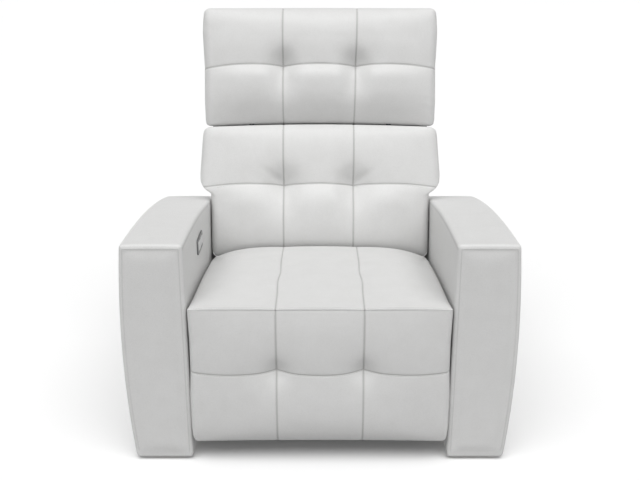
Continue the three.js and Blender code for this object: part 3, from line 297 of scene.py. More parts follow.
@dataclass(frozen=True)
class Leather(Surface):
    """Light warm grey leather with a fine grain, painted shade along its seams, and slightly polished on its
    crowns.
    """

    name: str = "cover_leather"
    color: Color = (0.735, 0.735, 0.73)
    shade: Color = (0.695, 0.694, 0.687)
    # Dark grey of the painted shade along the seams, also used to tint the grain's creases.
    seam_shade_and_grain_color: Color = (0.30, 0.297, 0.29)
    grain_size: float = 2.1 * MM
    pore_size: float = 0.9 * MM
    mottle_size: float = 45 * MM
    roughness: float = 0.5

    def paint(self, board: Board) -> None:
        """Lays out the nodes.

        Args:
            board: The material's board.
        """
        where = board.place()
        grain = board.cells(where, self.grain_size, "DISTANCE_TO_EDGE")
        creases = board.node("ShaderNodeValToRGB", {"stops": [(0.0, 0.0), (0.22, 1.0)]}, [grain])
        pores = board.noise(where, self.pore_size, detail=2.0)
        mottle = board.noise(where, self.mottle_size, detail=4.0)
        waves = board.noise(where, self.mottle_size * 0.35, detail=3.0)
        seam = board.attribute(SEAM_SHADE_ATTRIBUTE)
        crown = board.attribute(CROWN_ATTRIBUTE)
        tone = board.mix((mottle * 1.6 - 0.3).clamped(), self.shade, self.color)
        grained = board.mix((1.0 - creases) * 0.16, tone, self.seam_shade_and_grain_color)
        # Painted shade along the seams: where the seam mark is high, the colour goes to the dark seam colour.
        board.set(Base_Color=board.mix((seam * 0.7).clamped(), grained, self.seam_shade_and_grain_color))
        shine = self.roughness + (pores - 0.5) * 0.12 + (mottle - 0.5) * 0.1
        board.set(Roughness=(shine - crown * 0.06 + seam * 0.2).clamped())
        height = creases * 0.6 + pores * 0.5
        soft = board.bump(waves, 0.35 * MM, 0.5)
        board.set(Normal=board.bump(height, 0.12 * MM, 0.55, soft))
        board.set(Specular_IOR_Level=0.42)


@dataclass(frozen=True)
class Thread(Surface):
    """Bonded polyester thread in the leather's colour, twisted."""

    name: str = "seam_thread"
    color: Color = (0.42, 0.415, 0.40)
    twist: float = 0.6 * MM

    def paint(self, board: Board) -> None:
        """Lays out the nodes.

        Args:
            board: The material's board.
        """
        where = board.place()
        strands = board.noise(where, self.twist, detail=1.0)
        board.set(Base_Color=board.mix(strands, tuple(c * 0.75 for c in self.color), self.color))
        board.set(Roughness=0.55 + strands * 0.2, Normal=board.bump(strands, 0.1 * MM, 0.6))


@dataclass(frozen=True)
class PaintedSteel(Surface):
    """Satin black powder coat over tube and plate."""

    name: str = "frame_steel"
    color: Color = (0.022, 0.022, 0.025)
    peel_size: float = 1.4 * MM

    def paint(self, board: Board) -> None:
        """Lays out the nodes.

        Args:
            board: The material's board.
        """
        where = board.place()
        peel = board.noise(where, self.peel_size, detail=1.0)
        dust = board.noise(where, 60 * MM, detail=5.0)
        dusty = (dust * 2.2 - 1.0).clamped() * 0.18
        board.set(Base_Color=board.mix(dusty, self.color, (0.13, 0.125, 0.12)))
        board.set(Roughness=(0.38 + (dust - 0.5) * 0.2 + dusty).clamped())
        board.set(Normal=board.bump(peel, 0.08 * MM, 0.35))


@dataclass(frozen=True)
class ZincPlate(Surface):
    """Pressed links with satin zinc plating, faintly cloudy."""

    name: str = "link_steel"
    color: Color = (0.62, 0.63, 0.64)
    grain_size: float = 0.8 * MM

    def paint(self, board: Board) -> None:
        """Lays out the nodes.

        Args:
            board: The material's board.
        """
        streaks = board.noise(board.place((1.0, 14.0, 1.0)), 12 * MM, detail=3.0)
        clouds = board.noise(board.place(), 22 * MM, detail=4.0)
        fine = board.noise(board.place(), self.grain_size, detail=2.0)
        board.set(Base_Color=board.mix(clouds, tuple(c * 0.8 for c in self.color), self.color))
        board.set(Roughness=(0.3 + clouds * 0.16 + (streaks - 0.5) * 0.1).clamped(), Metallic=1.0)
        board.set(Normal=board.bump(fine * 0.6 + streaks * 0.4, 0.05 * MM, 0.4))


@dataclass(frozen=True)
class BlackPlastic(Surface):
    """Moulded black plastic with a fine spark texture."""

    name: str = "black_plastic"
    color: Color = (0.018, 0.018, 0.02)
    texture_size: float = 0.9 * MM

    def paint(self, board: Board) -> None:
        """Lays out the nodes.

        Args:
            board: The material's board.
        """
        where = board.place()
        spark = board.noise(where, self.texture_size, detail=2.0)
        flow = board.noise(where, 70 * MM, detail=2.0)
        board.set(Base_Color=board.mix(flow, self.color, tuple(c * 1.6 for c in self.color)))
        board.set(Roughness=(0.5 + spark * 0.15 + (flow - 0.5) * 0.1).clamped())
        board.set(Normal=board.bump(spark, 0.1 * MM, 0.5))


@dataclass(frozen=True)
class Plywood(Surface):
    """Bare birch plywood with a long face grain."""

    name: str = "frame_wood"
    light: Color = (0.56, 0.40, 0.23)
    dark: Color = (0.38, 0.25, 0.13)

    def paint(self, board: Board) -> None:
        """Lays out the nodes.

        Args:
            board: The material's board.
        """
        along = board.place((1.0, 0.08, 1.0))
        rings = board.noise(along, 9 * MM, detail=6.0, roughness=0.7)
        fibre = board.noise(board.place((1.0, 0.03, 1.0)), 1.5 * MM, detail=2.0)
        board.set(Base_Color=board.mix((rings * 1.5 - 0.25).clamped(), self.light, self.dark))
        board.set(Roughness=0.65 + fibre * 0.2, Normal=board.bump(fibre + rings, 0.2 * MM, 0.4))


@dataclass(frozen=True)
class ElasticWebbing(Surface):
    """Woven elastic webbing with fine ribs across each strap."""

    name: str = "webbing"
    color: Color = (0.045, 0.043, 0.04)
    stripe: Color = (0.20, 0.19, 0.17)
    rib: float = 2.4 * MM

    def paint(self, board: Board) -> None:
        """Lays out the nodes.

        Args:
            board: The material's board.
        """
        where = board.place()
        inputs = {"Vector": where, "Scale": 1.0 / self.rib}
        checks = board.node("ShaderNodeTexChecker", {}, inputs, output="Fac")
        fuzz = board.noise(where, 0.7 * MM, detail=2.0)
        board.set(Base_Color=board.mix(checks * 0.4 + fuzz * 0.3, self.color, self.stripe))
        board.set(Roughness=0.8 + fuzz * 0.15, Normal=board.bump(checks * 0.5 + fuzz, 0.25 * MM, 0.8))


@dataclass(frozen=True)
class SatinNickel(Surface):
    """Brushed nickel of the switch plate, the brush marks along its length."""

    name: str = "switch_metal"
    color: Color = (0.27, 0.27, 0.275)

    def paint(self, board: Board) -> None:
        """Lays out the nodes.

        Args:
            board: The material's board.
        """
        brush = board.noise(board.place((1.0, 0.03, 1.0)), 0.5 * MM, detail=2.0)
        smudge = board.noise(board.place(), 18 * MM, detail=3.0)
        board.set(Base_Color=board.mix(smudge, tuple(c * 0.88 for c in self.color), self.color))
        board.set(Roughness=(0.24 + brush * 0.14 + smudge * 0.08).clamped(), Metallic=1.0)
        board.set(Normal=board.bump(brush, 0.04 * MM, 0.5))


@dataclass(frozen=True)
class SilverButton(Surface):
    """Silver lacquer on the plastic buttons."""

    name: str = "button_plastic"
    color: Color = (0.80, 0.80, 0.80)

    def paint(self, board: Board) -> None:
        """Lays out the nodes.

        Args:
            board: The material's board.
        """
        where = board.place()
        flake = board.cells(where, 0.35 * MM)
        touch = board.noise(where, 9 * MM, detail=3.0)
        board.set(Base_Color=board.mix(flake, self.color, tuple(c * 0.86 for c in self.color)))
        board.set(Roughness=(0.28 + touch * 0.18).clamped(), Metallic=(0.35 + flake * 0.3).clamped())
        board.set(Normal=board.bump(flake, 0.02 * MM, 0.3))


@dataclass(frozen=True)
class StudioFloor(Surface):
    """Plain pale studio floor."""

    name: str = "studio_floor"
    color: Color = (0.99, 0.99, 0.99)

    def paint(self, board: Board) -> None:
        """Lays out the nodes.

        Args:
            board: The material's board.
        """
        tone = board.noise(board.place(), 0.8, detail=2.0)
        board.set(Base_Color=board.mix(tone, self.color, tuple(c * 0.99 for c in self.color)))
        board.set(Roughness=0.7 + tone * 0.1)


class Finish(Enum):
    """The finishes of the seat, each by its slot in the record."""

    LEATHER = Leather()
    THREAD = Thread()
    STEEL = PaintedSteel()
    ZINC = ZincPlate()
    PLASTIC = BlackPlastic()
    WOOD = Plywood()
    WEBBING = ElasticWebbing()
    NICKEL = SatinNickel()
    SILVER = SilverButton()
    FLOOR = StudioFloor()

    def material(self) -> bpy.types.Material:
        """Makes the finish's material at its first use.

        Returns:
            The material.
        """
        found = bpy.data.materials.get(self.value.name + "_finish")
        if found is None:
            found = self.value.build()
            found.name = self.value.name + "_finish"
        return found


# Places and outlines


def graded(start: float, end: float, fine_start: float, fine_end: float, coarse: float) -> list[float]:
    """Places from start up to end, close together at both ends and coarse in the middle.

    Args:
        start: First place, which is in the list.
        end: Place where the list stops, which is not in it.
        fine_start: First step at the start.
        fine_end: Last step at the end.
        coarse: Largest step.

    Returns:
        The rising places.
    """
    growth = 1.55
    middle = (start + end) / 2
    left, right = [start], [end]
    for side, step, sign in ((left, fine_start, 1), (right, fine_end, -1)):
        while (middle - (side[-1] + sign * step)) * sign > 0:
            side.append(side[-1] + sign * step)
            step = min(step * growth, coarse)
    gap = right[-1] - left[-1]
    if gap > coarse * 1.3:
        left.append(middle)
    elif gap < min(fine_start, fine_end) * 0.6 and len(left) > 1:
        left.pop()
    return left + right[:0:-1]


def resample(leg: np.ndarray, shares: np.ndarray) -> np.ndarray:
    """Points of a polyline at shares of its length.

    Args:
        leg: The polyline's points, one per row.
        shares: Shares from 0 to 1.

    Returns:
        One point per share.
    """
    steps = np.linalg.norm(np.diff(leg, axis=0), axis=1)
    reach = np.concatenate([[0.0], np.cumsum(steps)])
    wanted = shares * reach[-1]
    return np.stack([np.interp(wanted, reach, leg[:, k]) for k in range(leg.shape[1])], axis=1)


def corner_legs(corners: Sequence[Point2], radii: Sequence[float], arc_steps: int = 6) -> list[np.ndarray]:
    """Outline of a polygon with rounded corners, cut at the middle of each corner.

    Args:
        corners: The polygon's corners in order.
        radii: The radius at each corner.
        arc_steps: Steps in half a corner.

    Returns:
        A leg from each corner's middle to the next one's.
    """
    count = len(corners)
    points = [np.array(c, float) for c in corners]
    halves: list[tuple[np.ndarray, np.ndarray]] = []
    for index, here in enumerate(points):
        before, after = points[index - 1], points[(index + 1) % count]
        into = (here - before) / max(np.linalg.norm(here - before), 1e-9)
        out = (after - here) / max(np.linalg.norm(after - here), 1e-9)
        turn = math.acos(float(np.clip(into @ out, -1.0, 1.0)))
        room = 0.48 * min(np.linalg.norm(here - before), np.linalg.norm(after - here))
        radius = min(radii[index], room / max(math.tan(turn / 2), 1e-6))
        back = radius * math.tan(turn / 2)
        start, end = here - into * back, here + out * back
        sense = 1.0 if into[0] * out[1] - into[1] * out[0] > 0 else -1.0
        middle = start + sense * radius * np.array([-into[1], into[0]])
        angle = math.atan2(start[1] - middle[1], start[0] - middle[0])
        turns = [angle + sense * turn * k / (2 * arc_steps) for k in range(2 * arc_steps + 1)]
        arc = [middle + radius * np.array([math.cos(a), math.sin(a)]) for a in turns]
        halves.append((np.array([start, *arc[1 : arc_steps + 1]]), np.array([*arc[arc_steps:-1], end])))
    return [np.concatenate([halves[i][1], halves[(i + 1) % count][0]]) for i in range(count)]


def split_leg(leg: np.ndarray, column: int, value: float) -> tuple[np.ndarray, np.ndarray]:
    """Cuts a polyline where one coordinate first passes a value.

    Args:
        leg: The polyline.
        column: Which coordinate is watched.
        value: The value where it is cut.

    Returns:
        The parts before and after the cut, which share the cut's point.
    """
    sign = 1.0 if leg[-1, column] > leg[0, column] else -1.0
    index = int(np.argmax((leg[:, column] - value) * sign > 0))
    index = max(index, 1)
    low, high = leg[index - 1], leg[index]
    share = (value - low[column]) / (high[column] - low[column])
    cut = low + (high - low) * share
    return np.vstack([leg[:index], cut]), np.vstack([cut, leg[index:]])


def drawn_in(distance: float, radius: float) -> float:
    """How far a rounded edge draws in at a distance from the end of the form.

    Args:
        distance: From the end of the form.
        radius: Of the edge.

    Returns:
        The distance in.
    """
    if distance >= radius:
        return 0.0
    reach = radius - max(distance, 0.0)
    return radius - math.sqrt(radius * radius - reach * reach)


def rounded_end(end: float, radius: float, steps: int = 6) -> list[float]:
    """Places on the rounded end of a form, evenly turned round its edge, ending at the end."""
    sign = 1.0 if end > 0 else -1.0
    return [end - sign * radius * (1 - math.sin(math.pi / 2 * k / steps)) for k in range(1, steps + 1)]


def smooth(value: Any, low: float, high: float) -> Any:
    """Smooth step from 0 at low to 1 at high."""
    share = np.clip((value - low) / (high - low), 0.0, 1.0)
    return share * share * (3 - 2 * share)


def bell(value: Any, width: float) -> Any:
    """1 at zero, falling off within about the width."""
    return np.exp(-((value / width) ** 2))


def full(value: Any, low: Any, high: Any, power: float = 2.4) -> Any:
    """How full a stuffed panel stands between two seams, 0 at a seam and 1 in its middle."""
    share = np.abs(2 * (value - low) / (high - low) - 1)
    return 1 - np.clip(share, 0.0, 1.0) ** power


def leaf(share: Any, crest: float) -> Any:
    """Fullness of a panel that falls ever faster towards its lower end.

    Args:
        share: Place up the panel, 0 to 1.
        crest: Where it is fullest.

    Returns:
        0 at both ends and 1 at the crest.
    """
    below = 1 - np.clip((crest - share) / crest, 0.0, 1.0) ** 1.7
    above = 1 - np.clip((share - crest) / (1 - crest), 0.0, 1.0) ** 2
    return below * above


class Face(Enum):
    """The faces of a form that is made of rings."""

    FRONT = 0
    TOP = 1
    REAR = 2
    BOTTOM = 3
    CAP = 4


class Axis(Enum):
    """The axis that a form's rings are stacked along."""

    X = 0
    Y = 1


@dataclass
class SoftForm:
    """A closed form as a grid: a ring of points at each place along an axis, and a patch over each end."""

    name: str
    points: np.ndarray
    faces: list[tuple[int, ...]]
    face_of: np.ndarray
    flat: np.ndarray
    seam: np.ndarray = field(init=False)
    crown: np.ndarray = field(init=False)

    def __post_init__(self) -> None:
        """Starts with no seams and no crown marked."""
        self.seam = np.zeros(len(self.points))
        self.crown = np.zeros(len(self.points))

    def on(self, *faces: Face) -> np.ndarray:
        """Marks the points that lie on any of the faces."""
        return np.isin(self.face_of, [face.value for face in faces])

    def normals(self) -> np.ndarray:
        """Outward normal at every point.

        Returns:
            One unit vector per point.
        """
        total = np.zeros_like(self.points)
        quads = np.array(self.faces)
        a, b, c, d = (self.points[quads[:, k]] for k in range(4))
        across = np.cross(c - a, d - b)
        for k in range(4):
            np.add.at(total, quads[:, k], across)
        length = np.linalg.norm(total, axis=1, keepdims=True)
        return total / np.maximum(length, 1e-12)

    def push(self, distance: np.ndarray) -> None:
        """Moves every point along its normal, outwards where positive."""
        self.points = self.points + self.normals() * distance[:, None]

    def groove(self, distance: np.ndarray, where: np.ndarray, depth: float, width: float,
               line_shade: float = 1.0) -> None:
        """Sews a seam: a narrow valley along a line, marked for the painted shade that the leather lays along
        it.

        Args:
            distance: Each point's distance from the line.
            where: The points that the seam may touch.
            depth: Depth of the valley.
            width: Half width of the valley.
            line_shade: How dark the painted shade on the line itself is, up to 1.
        """
        pull = bell(distance, width) * where
        self.push(-depth * pull)
        # The seam mark: painted shade along the line, read by the leather's colour.
        self.seam = np.maximum(self.seam, line_shade * bell(distance, SEAM_LINE) * where)

    def to_object(self, place: Placing) -> bpy.types.Object:
        """A mesh object with the form's points, its seam mark of painted shade, its crown mark and leather.

        Args:
            place: Turns the form's own places into those of the frame.

        Returns:
            The linked object.
        """
        mesh = bpy.data.meshes.new(self.name)
        mesh.from_pydata(place(self.points).tolist(), [], self.faces)
        # The seam mark paints shade along the seams; the crown mark only lowers roughness.
        for name, values in ((SEAM_SHADE_ATTRIBUTE, self.seam), (CROWN_ATTRIBUTE, self.crown)):
            layer = mesh.attributes.new(name, "FLOAT", "POINT")
            layer.data.foreach_set("value", values.astype(np.float32))
        mesh.shade_smooth()
        made = linked(self.name, mesh)
        outwards(made)
        fine = made.modifiers.new("fine", "SUBSURF")
        fine.levels = fine.render_levels = 1
        mesh.materials.append(Finish.LEATHER.material())
        return made


def outwards(thing: bpy.types.Object) -> None:
    """Turns every face of a closed mesh outwards.

    Args:
        thing: The mesh object.
    """
    work = bmesh.new()
    work.from_mesh(thing.data)
    bmesh.ops.recalc_face_normals(work, faces=work.faces)
    work.to_mesh(thing.data)
    work.free()


@dataclass
class RingPlan:
    """How a form's rings are cut into legs, and how many legs lie on each face."""

    legs: Callable[[float], list[np.ndarray]]
    faces: Sequence[Face]
    fine: Sequence[float]
    coarse: float

    def shares(self, place: float) -> list[np.ndarray]:
        """The shares along each leg where its points lie.

        Args:
            place: The ring they are taken from.

        Returns:
            Rising shares for each leg.
        """
        found = []
        for index, leg in enumerate(self.legs(place)):
            length = float(np.linalg.norm(np.diff(leg, axis=0), axis=1).sum())
            fine_end = self.fine[(index + 1) % len(self.fine)]
            places = graded(0.0, length, self.fine[index], fine_end, self.coarse)
            found.append(np.array(places) / length)
        return self._evened(found)

    def _evened(self, shares: list[np.ndarray]) -> list[np.ndarray]:
        """Gives opposite faces as many points as each other.

        Args:
            shares: The shares of each leg.

        Returns:
            The shares, the poorer face of each pair having gained some.
        """
        counts = {face: sum(len(s) for s, f in zip(shares, self.faces) if f == face) for face in self.faces}
        for one, other in ((Face.FRONT, Face.REAR), (Face.TOP, Face.BOTTOM)):
            poor, rich = (one, other) if counts[one] < counts[other] else (other, one)
            index = max((i for i, f in enumerate(self.faces) if f == poor), key=lambda i: len(shares[i]))
            wanted = len(shares[index]) + counts[rich] - counts[poor]
            steps = np.linspace(0, len(shares[index]), wanted, endpoint=False)
            full_row = np.append(shares[index], 1.0)
            shares[index] = np.interp(steps, np.arange(len(full_row)), full_row)
        return shares


def ring_form(name: str, axis: Axis, places: Sequence[float], plan: RingPlan, middle: float,
              bulge: float = 0.0) -> SoftForm:
    """Builds a closed form through rings.

    Args:
        name: The form's name.
        axis: The axis that the rings are stacked along.
        places: Rising places of the rings.
        plan: How each ring runs.
        middle: The place whose ring sets how points are shared out.
        bulge: How far the middle of each end patch stands out.

    Returns:
        The form, its faces turned outwards.
    """
    shares = plan.shares(middle)
    rings = np.array([np.vstack([resample(leg, s) for leg, s in zip(plan.legs(p), shares)]) for p in places])
    marks = np.concatenate([np.full(len(s), f.value) for s, f in zip(shares, plan.faces)])
    count, around = len(places), rings.shape[1]
    along = np.repeat(np.array(places), around)
    grid = rings.reshape(-1, 2)
    order = (0, 1, 2) if axis is Axis.X else (1, 0, 2)
    points = np.stack([along, grid[:, 0], grid[:, 1]], axis=1)
    face_of = np.tile(marks, count)
    faces = [
        (r * around + i, (r + 1) * around + i, (r + 1) * around + j, r * around + j)
        for r in range(count - 1)
        for i, j in zip(range(around), (*range(1, around), 0))
    ]
    tall = int((marks == Face.FRONT.value).sum())
    deep = int((marks == Face.TOP.value).sum())
    blocks = [points]
    start = len(points)
    for end, sign in ((0, -1.0), (count - 1, 1.0)):
        patch, patch_faces = _end_patch(rings[end], tall, deep, end * around, start)
        u = np.tile(np.arange(1, deep) / deep, tall - 1)
        v = np.repeat(np.arange(1, tall) / tall, deep - 1)
        swell = bulge * np.sqrt(np.clip(16 * u * (1 - u) * v * (1 - v), 0, 1))
        place = np.full(len(patch), places[end]) + sign * swell
        blocks.append(np.stack([place, patch[:, 0], patch[:, 1]], axis=1))
        faces.extend(patch_faces if sign < 0 else [tuple(reversed(f)) for f in patch_faces])
        face_of = np.concatenate([face_of, np.full(len(patch), Face.CAP.value)])
        start += len(patch)
    everything = np.vstack(blocks)[:, order]
    form = SoftForm(name, everything, faces, face_of, everything.copy())
    if axis is Axis.Y:  # its rings run the other way round
        form.faces = [tuple(reversed(f)) for f in form.faces]
    return form


def _end_patch(ring: np.ndarray, tall: int, deep: int, base: int,
               start: int) -> tuple[np.ndarray, list[tuple[int, ...]]]:
    """A patch of quads over the end of a form.

    Args:
        ring: The end ring.
        tall: Points on its front and on its rear.
        deep: Points on its top and on its bottom.
        base: Index of the ring's first point.
        start: Index that the patch's first point will have.

    Returns:
        The patch's inner points and its faces.
    """
    total = len(ring)
    front = ring[np.arange(0, tall + 1)]
    top = ring[np.arange(tall, tall + deep + 1)]
    rear = ring[np.arange(2 * tall + deep, tall + deep - 1, -1)]
    bottom = ring[np.arange(total, 2 * tall + deep - 1, -1) % total]
    u = (np.arange(1, deep) / deep)[None, :, None]
    v = (np.arange(1, tall) / tall)[:, None, None]
    flat = (1 - u) * front[1:-1, None] + u * rear[1:-1, None]
    flat = flat + (1 - v) * bottom[None, 1:-1] + v * top[None, 1:-1]
    corners = (1 - u) * (1 - v) * front[0] + (1 - u) * v * front[-1]
    corners = corners + u * (1 - v) * rear[0] + u * v * rear[-1]
    inner = (flat - corners).reshape(-1, 2)

    up, deeper = np.arange(tall + 1), np.arange(deep + 1)
    grid = np.zeros((tall + 1, deep + 1), int)
    grid[0] = base + (total - deeper) % total
    grid[:, deep] = base + 2 * tall + deep - up
    grid[tall] = base + tall + deeper
    grid[:, 0] = base + up
    grid[1:-1, 1:-1] = start + np.arange((tall - 1) * (deep - 1)).reshape(tall - 1, deep - 1)
    index = grid.tolist()
    faces = [
        (index[row][col], index[row][col + 1], index[row + 1][col + 1], index[row + 1][col])
        for row in range(tall)
        for col in range(deep)
    ]
    return inner, faces


# Cloth


@dataclass(frozen=True)
class Stuffing:
    """How a cover is blown up: the settings of the cloth simulation and the most that a point moves."""

    pressure: float = 4.0
    stiffness: float = 20.0
    bending: float = 3.0
    shrink: float = 0.002
    frames: int = 20
    cap: float = 24 * MM

    def fill(self, form: SoftForm, held: np.ndarray) -> None:
        """Args:
            form: The form, whose points are moved.
            held: 1 at points that are sewn down or rest on something, 0 where the cover is free.
        """
        mesh = bpy.data.meshes.new("cover")
        mesh.from_pydata(form.points.tolist(), [], form.faces)
        thing = linked("cover", mesh)
        group = thing.vertex_groups.new(name="held")
        for index in np.nonzero(held > 0)[0]:
            group.add([int(index)], float(held[index]), "REPLACE")
        cloth = thing.modifiers.new("stuffing", "CLOTH")
        settings = cloth.settings
        settings.use_pressure = True
        settings.uniform_pressure_force = self.pressure
        settings.effector_weights.gravity = 0.0
        settings.tension_stiffness = self.stiffness
        settings.compression_stiffness = self.stiffness
        settings.shear_stiffness = self.stiffness / 3
        settings.bending_stiffness = self.bending
        settings.shrink_min = self.shrink
        settings.vertex_group_mass = "held"
        settings.quality = 5
        cloth.collision_settings.use_collision = False
        scene = bpy.context.scene
        for step in range(1, self.frames + 1):
            scene.frame_set(step)
        shape = thing.evaluated_get(bpy.context.evaluated_depsgraph_get()).to_mesh()
        moved = np.empty(len(shape.vertices) * 3)
        shape.vertices.foreach_get("co", moved)
        scene.frame_set(1)
        bpy.data.objects.remove(thing)
        change = moved.reshape(-1, 3) - form.points
        length = np.linalg.norm(change, axis=1, keepdims=True)
        form.points = form.points + change * np.minimum(1.0, self.cap / np.maximum(length, 1e-9))
        LOG.info("%s stuffed, %d points, furthest %.1f mm", form.name, len(length), float(length.max()) / MM)


@dataclass(frozen=True)
class Fold:
    """One soft crease of the leather, from a start to an end, deepest at its start."""

    start: Point2
    end: Point2
    depth: float
    width: float

    def pull(self, across: np.ndarray, up: np.ndarray) -> np.ndarray:
        """How far the crease draws each point in, a low ridge beside it standing out.

        Args:
            across: Each point's place across.
            up: Its place up.

        Returns:
            Metres inwards, less than 0 on the ridge.
        """
        a, b = np.array(self.start), np.array(self.end)
        way = b - a
        length = float(np.linalg.norm(way))
        rel = np.stack([across - a[0], up - a[1]], axis=1)
        share = np.clip(rel @ way / length**2, 0.0, 1.0)
        side = np.linalg.norm(rel - share[:, None] * way, axis=1)
        taper = (1 - share) ** 0.8 * smooth(share, -0.05, 0.15)
        valley = bell(side, self.width)
        ridge = 0.35 * bell(side - 1.9 * self.width, self.width)
        return self.depth * taper * (valley - ridge)


CHANNEL_X = 110.5 * MM
STITCH_OFF = 2.6 * MM  # from a seam to the stitches beside it


# The leaning back


@dataclass(frozen=True)
class Lean:
    """The tilted frame of the back: t is behind its front plane, s is up along it."""

    angle: float = math.radians(13)
    hinge_t: float = 155 * MM
    hinge_s: float = -115 * MM

    def foot(self) -> Point2:
        """Y and Z of the front plane's foot, found from the back's hinge.

        Returns:
            Both places.
        """
        hinge = next(j for j in frame["joints"] if j["name"] == "back_recline")["pos_m"]
        sine, cosine = math.sin(self.angle), math.cos(self.angle)
        foot_y = hinge[1] - self.hinge_s * sine - self.hinge_t * cosine
        return foot_y, hinge[2] - self.hinge_s * cosine + self.hinge_t * sine

    def to_frame(self, points: np.ndarray) -> np.ndarray:
        """Turns (x, t, s) points into the frame's (x, y, z).

        Args:
            points: One point per row.

        Returns:
            The points in the frame.
        """
        foot_y, foot_z = self.foot()
        sine, cosine = math.sin(self.angle), math.cos(self.angle)
        y = foot_y + points[:, 2] * sine + points[:, 1] * cosine
        z = foot_z + points[:, 2] * cosine - points[:, 1] * sine
        return np.stack([points[:, 0], y, z], axis=1)


LEAN = Lean()


def across_places(half: float, radius: float) -> list[float]:
    """Places across a cushion, close together at its two channels and its rounded ends.

    Args:
        half: Half width.
        radius: Of the ends.

    Returns:
        Rising places from end to end.
    """
    fine, coarse = 1.5 * MM, 9 * MM
    inner = half - radius
    right = graded(0.0, CHANNEL_X, coarse, fine, coarse) + graded(CHANNEL_X, inner, fine, 4 * MM, coarse)
    right += [inner, *rounded_end(half, radius)]
    return [-x for x in reversed(right[1:])] + right


def panel_fullness(x: np.ndarray, half: float) -> np.ndarray:
    """Fullness across the three panels of a cushion.

    Args:
        x: Places across.
        half: Half width.

    Returns:
        0 at a seam, 1 in a panel's middle.
    """
    low = np.where(x < -CHANNEL_X, -half, np.where(x < CHANNEL_X, -CHANNEL_X, CHANNEL_X))
    high = np.where(x < -CHANNEL_X, -CHANNEL_X, np.where(x < CHANNEL_X, CHANNEL_X, half))
    return full(x, low, high)


def finish_piece(piece: bpy.types.Object, body: str, slot: str, *nodes: str) -> bpy.types.Object:
    """Makes a piece ride on a body and stand for its nodes.

    Args:
        piece: The finished piece.
        body: The body that it moves with.
        slot: The record's material slot; not used.
        nodes: The CAD nodes that it replaces.

    Returns:
        The piece.
    """
    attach(piece, body)
    if nodes:
        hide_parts(*nodes)
    LOG.info("%s rides on %s", piece.name, body)
    return piece


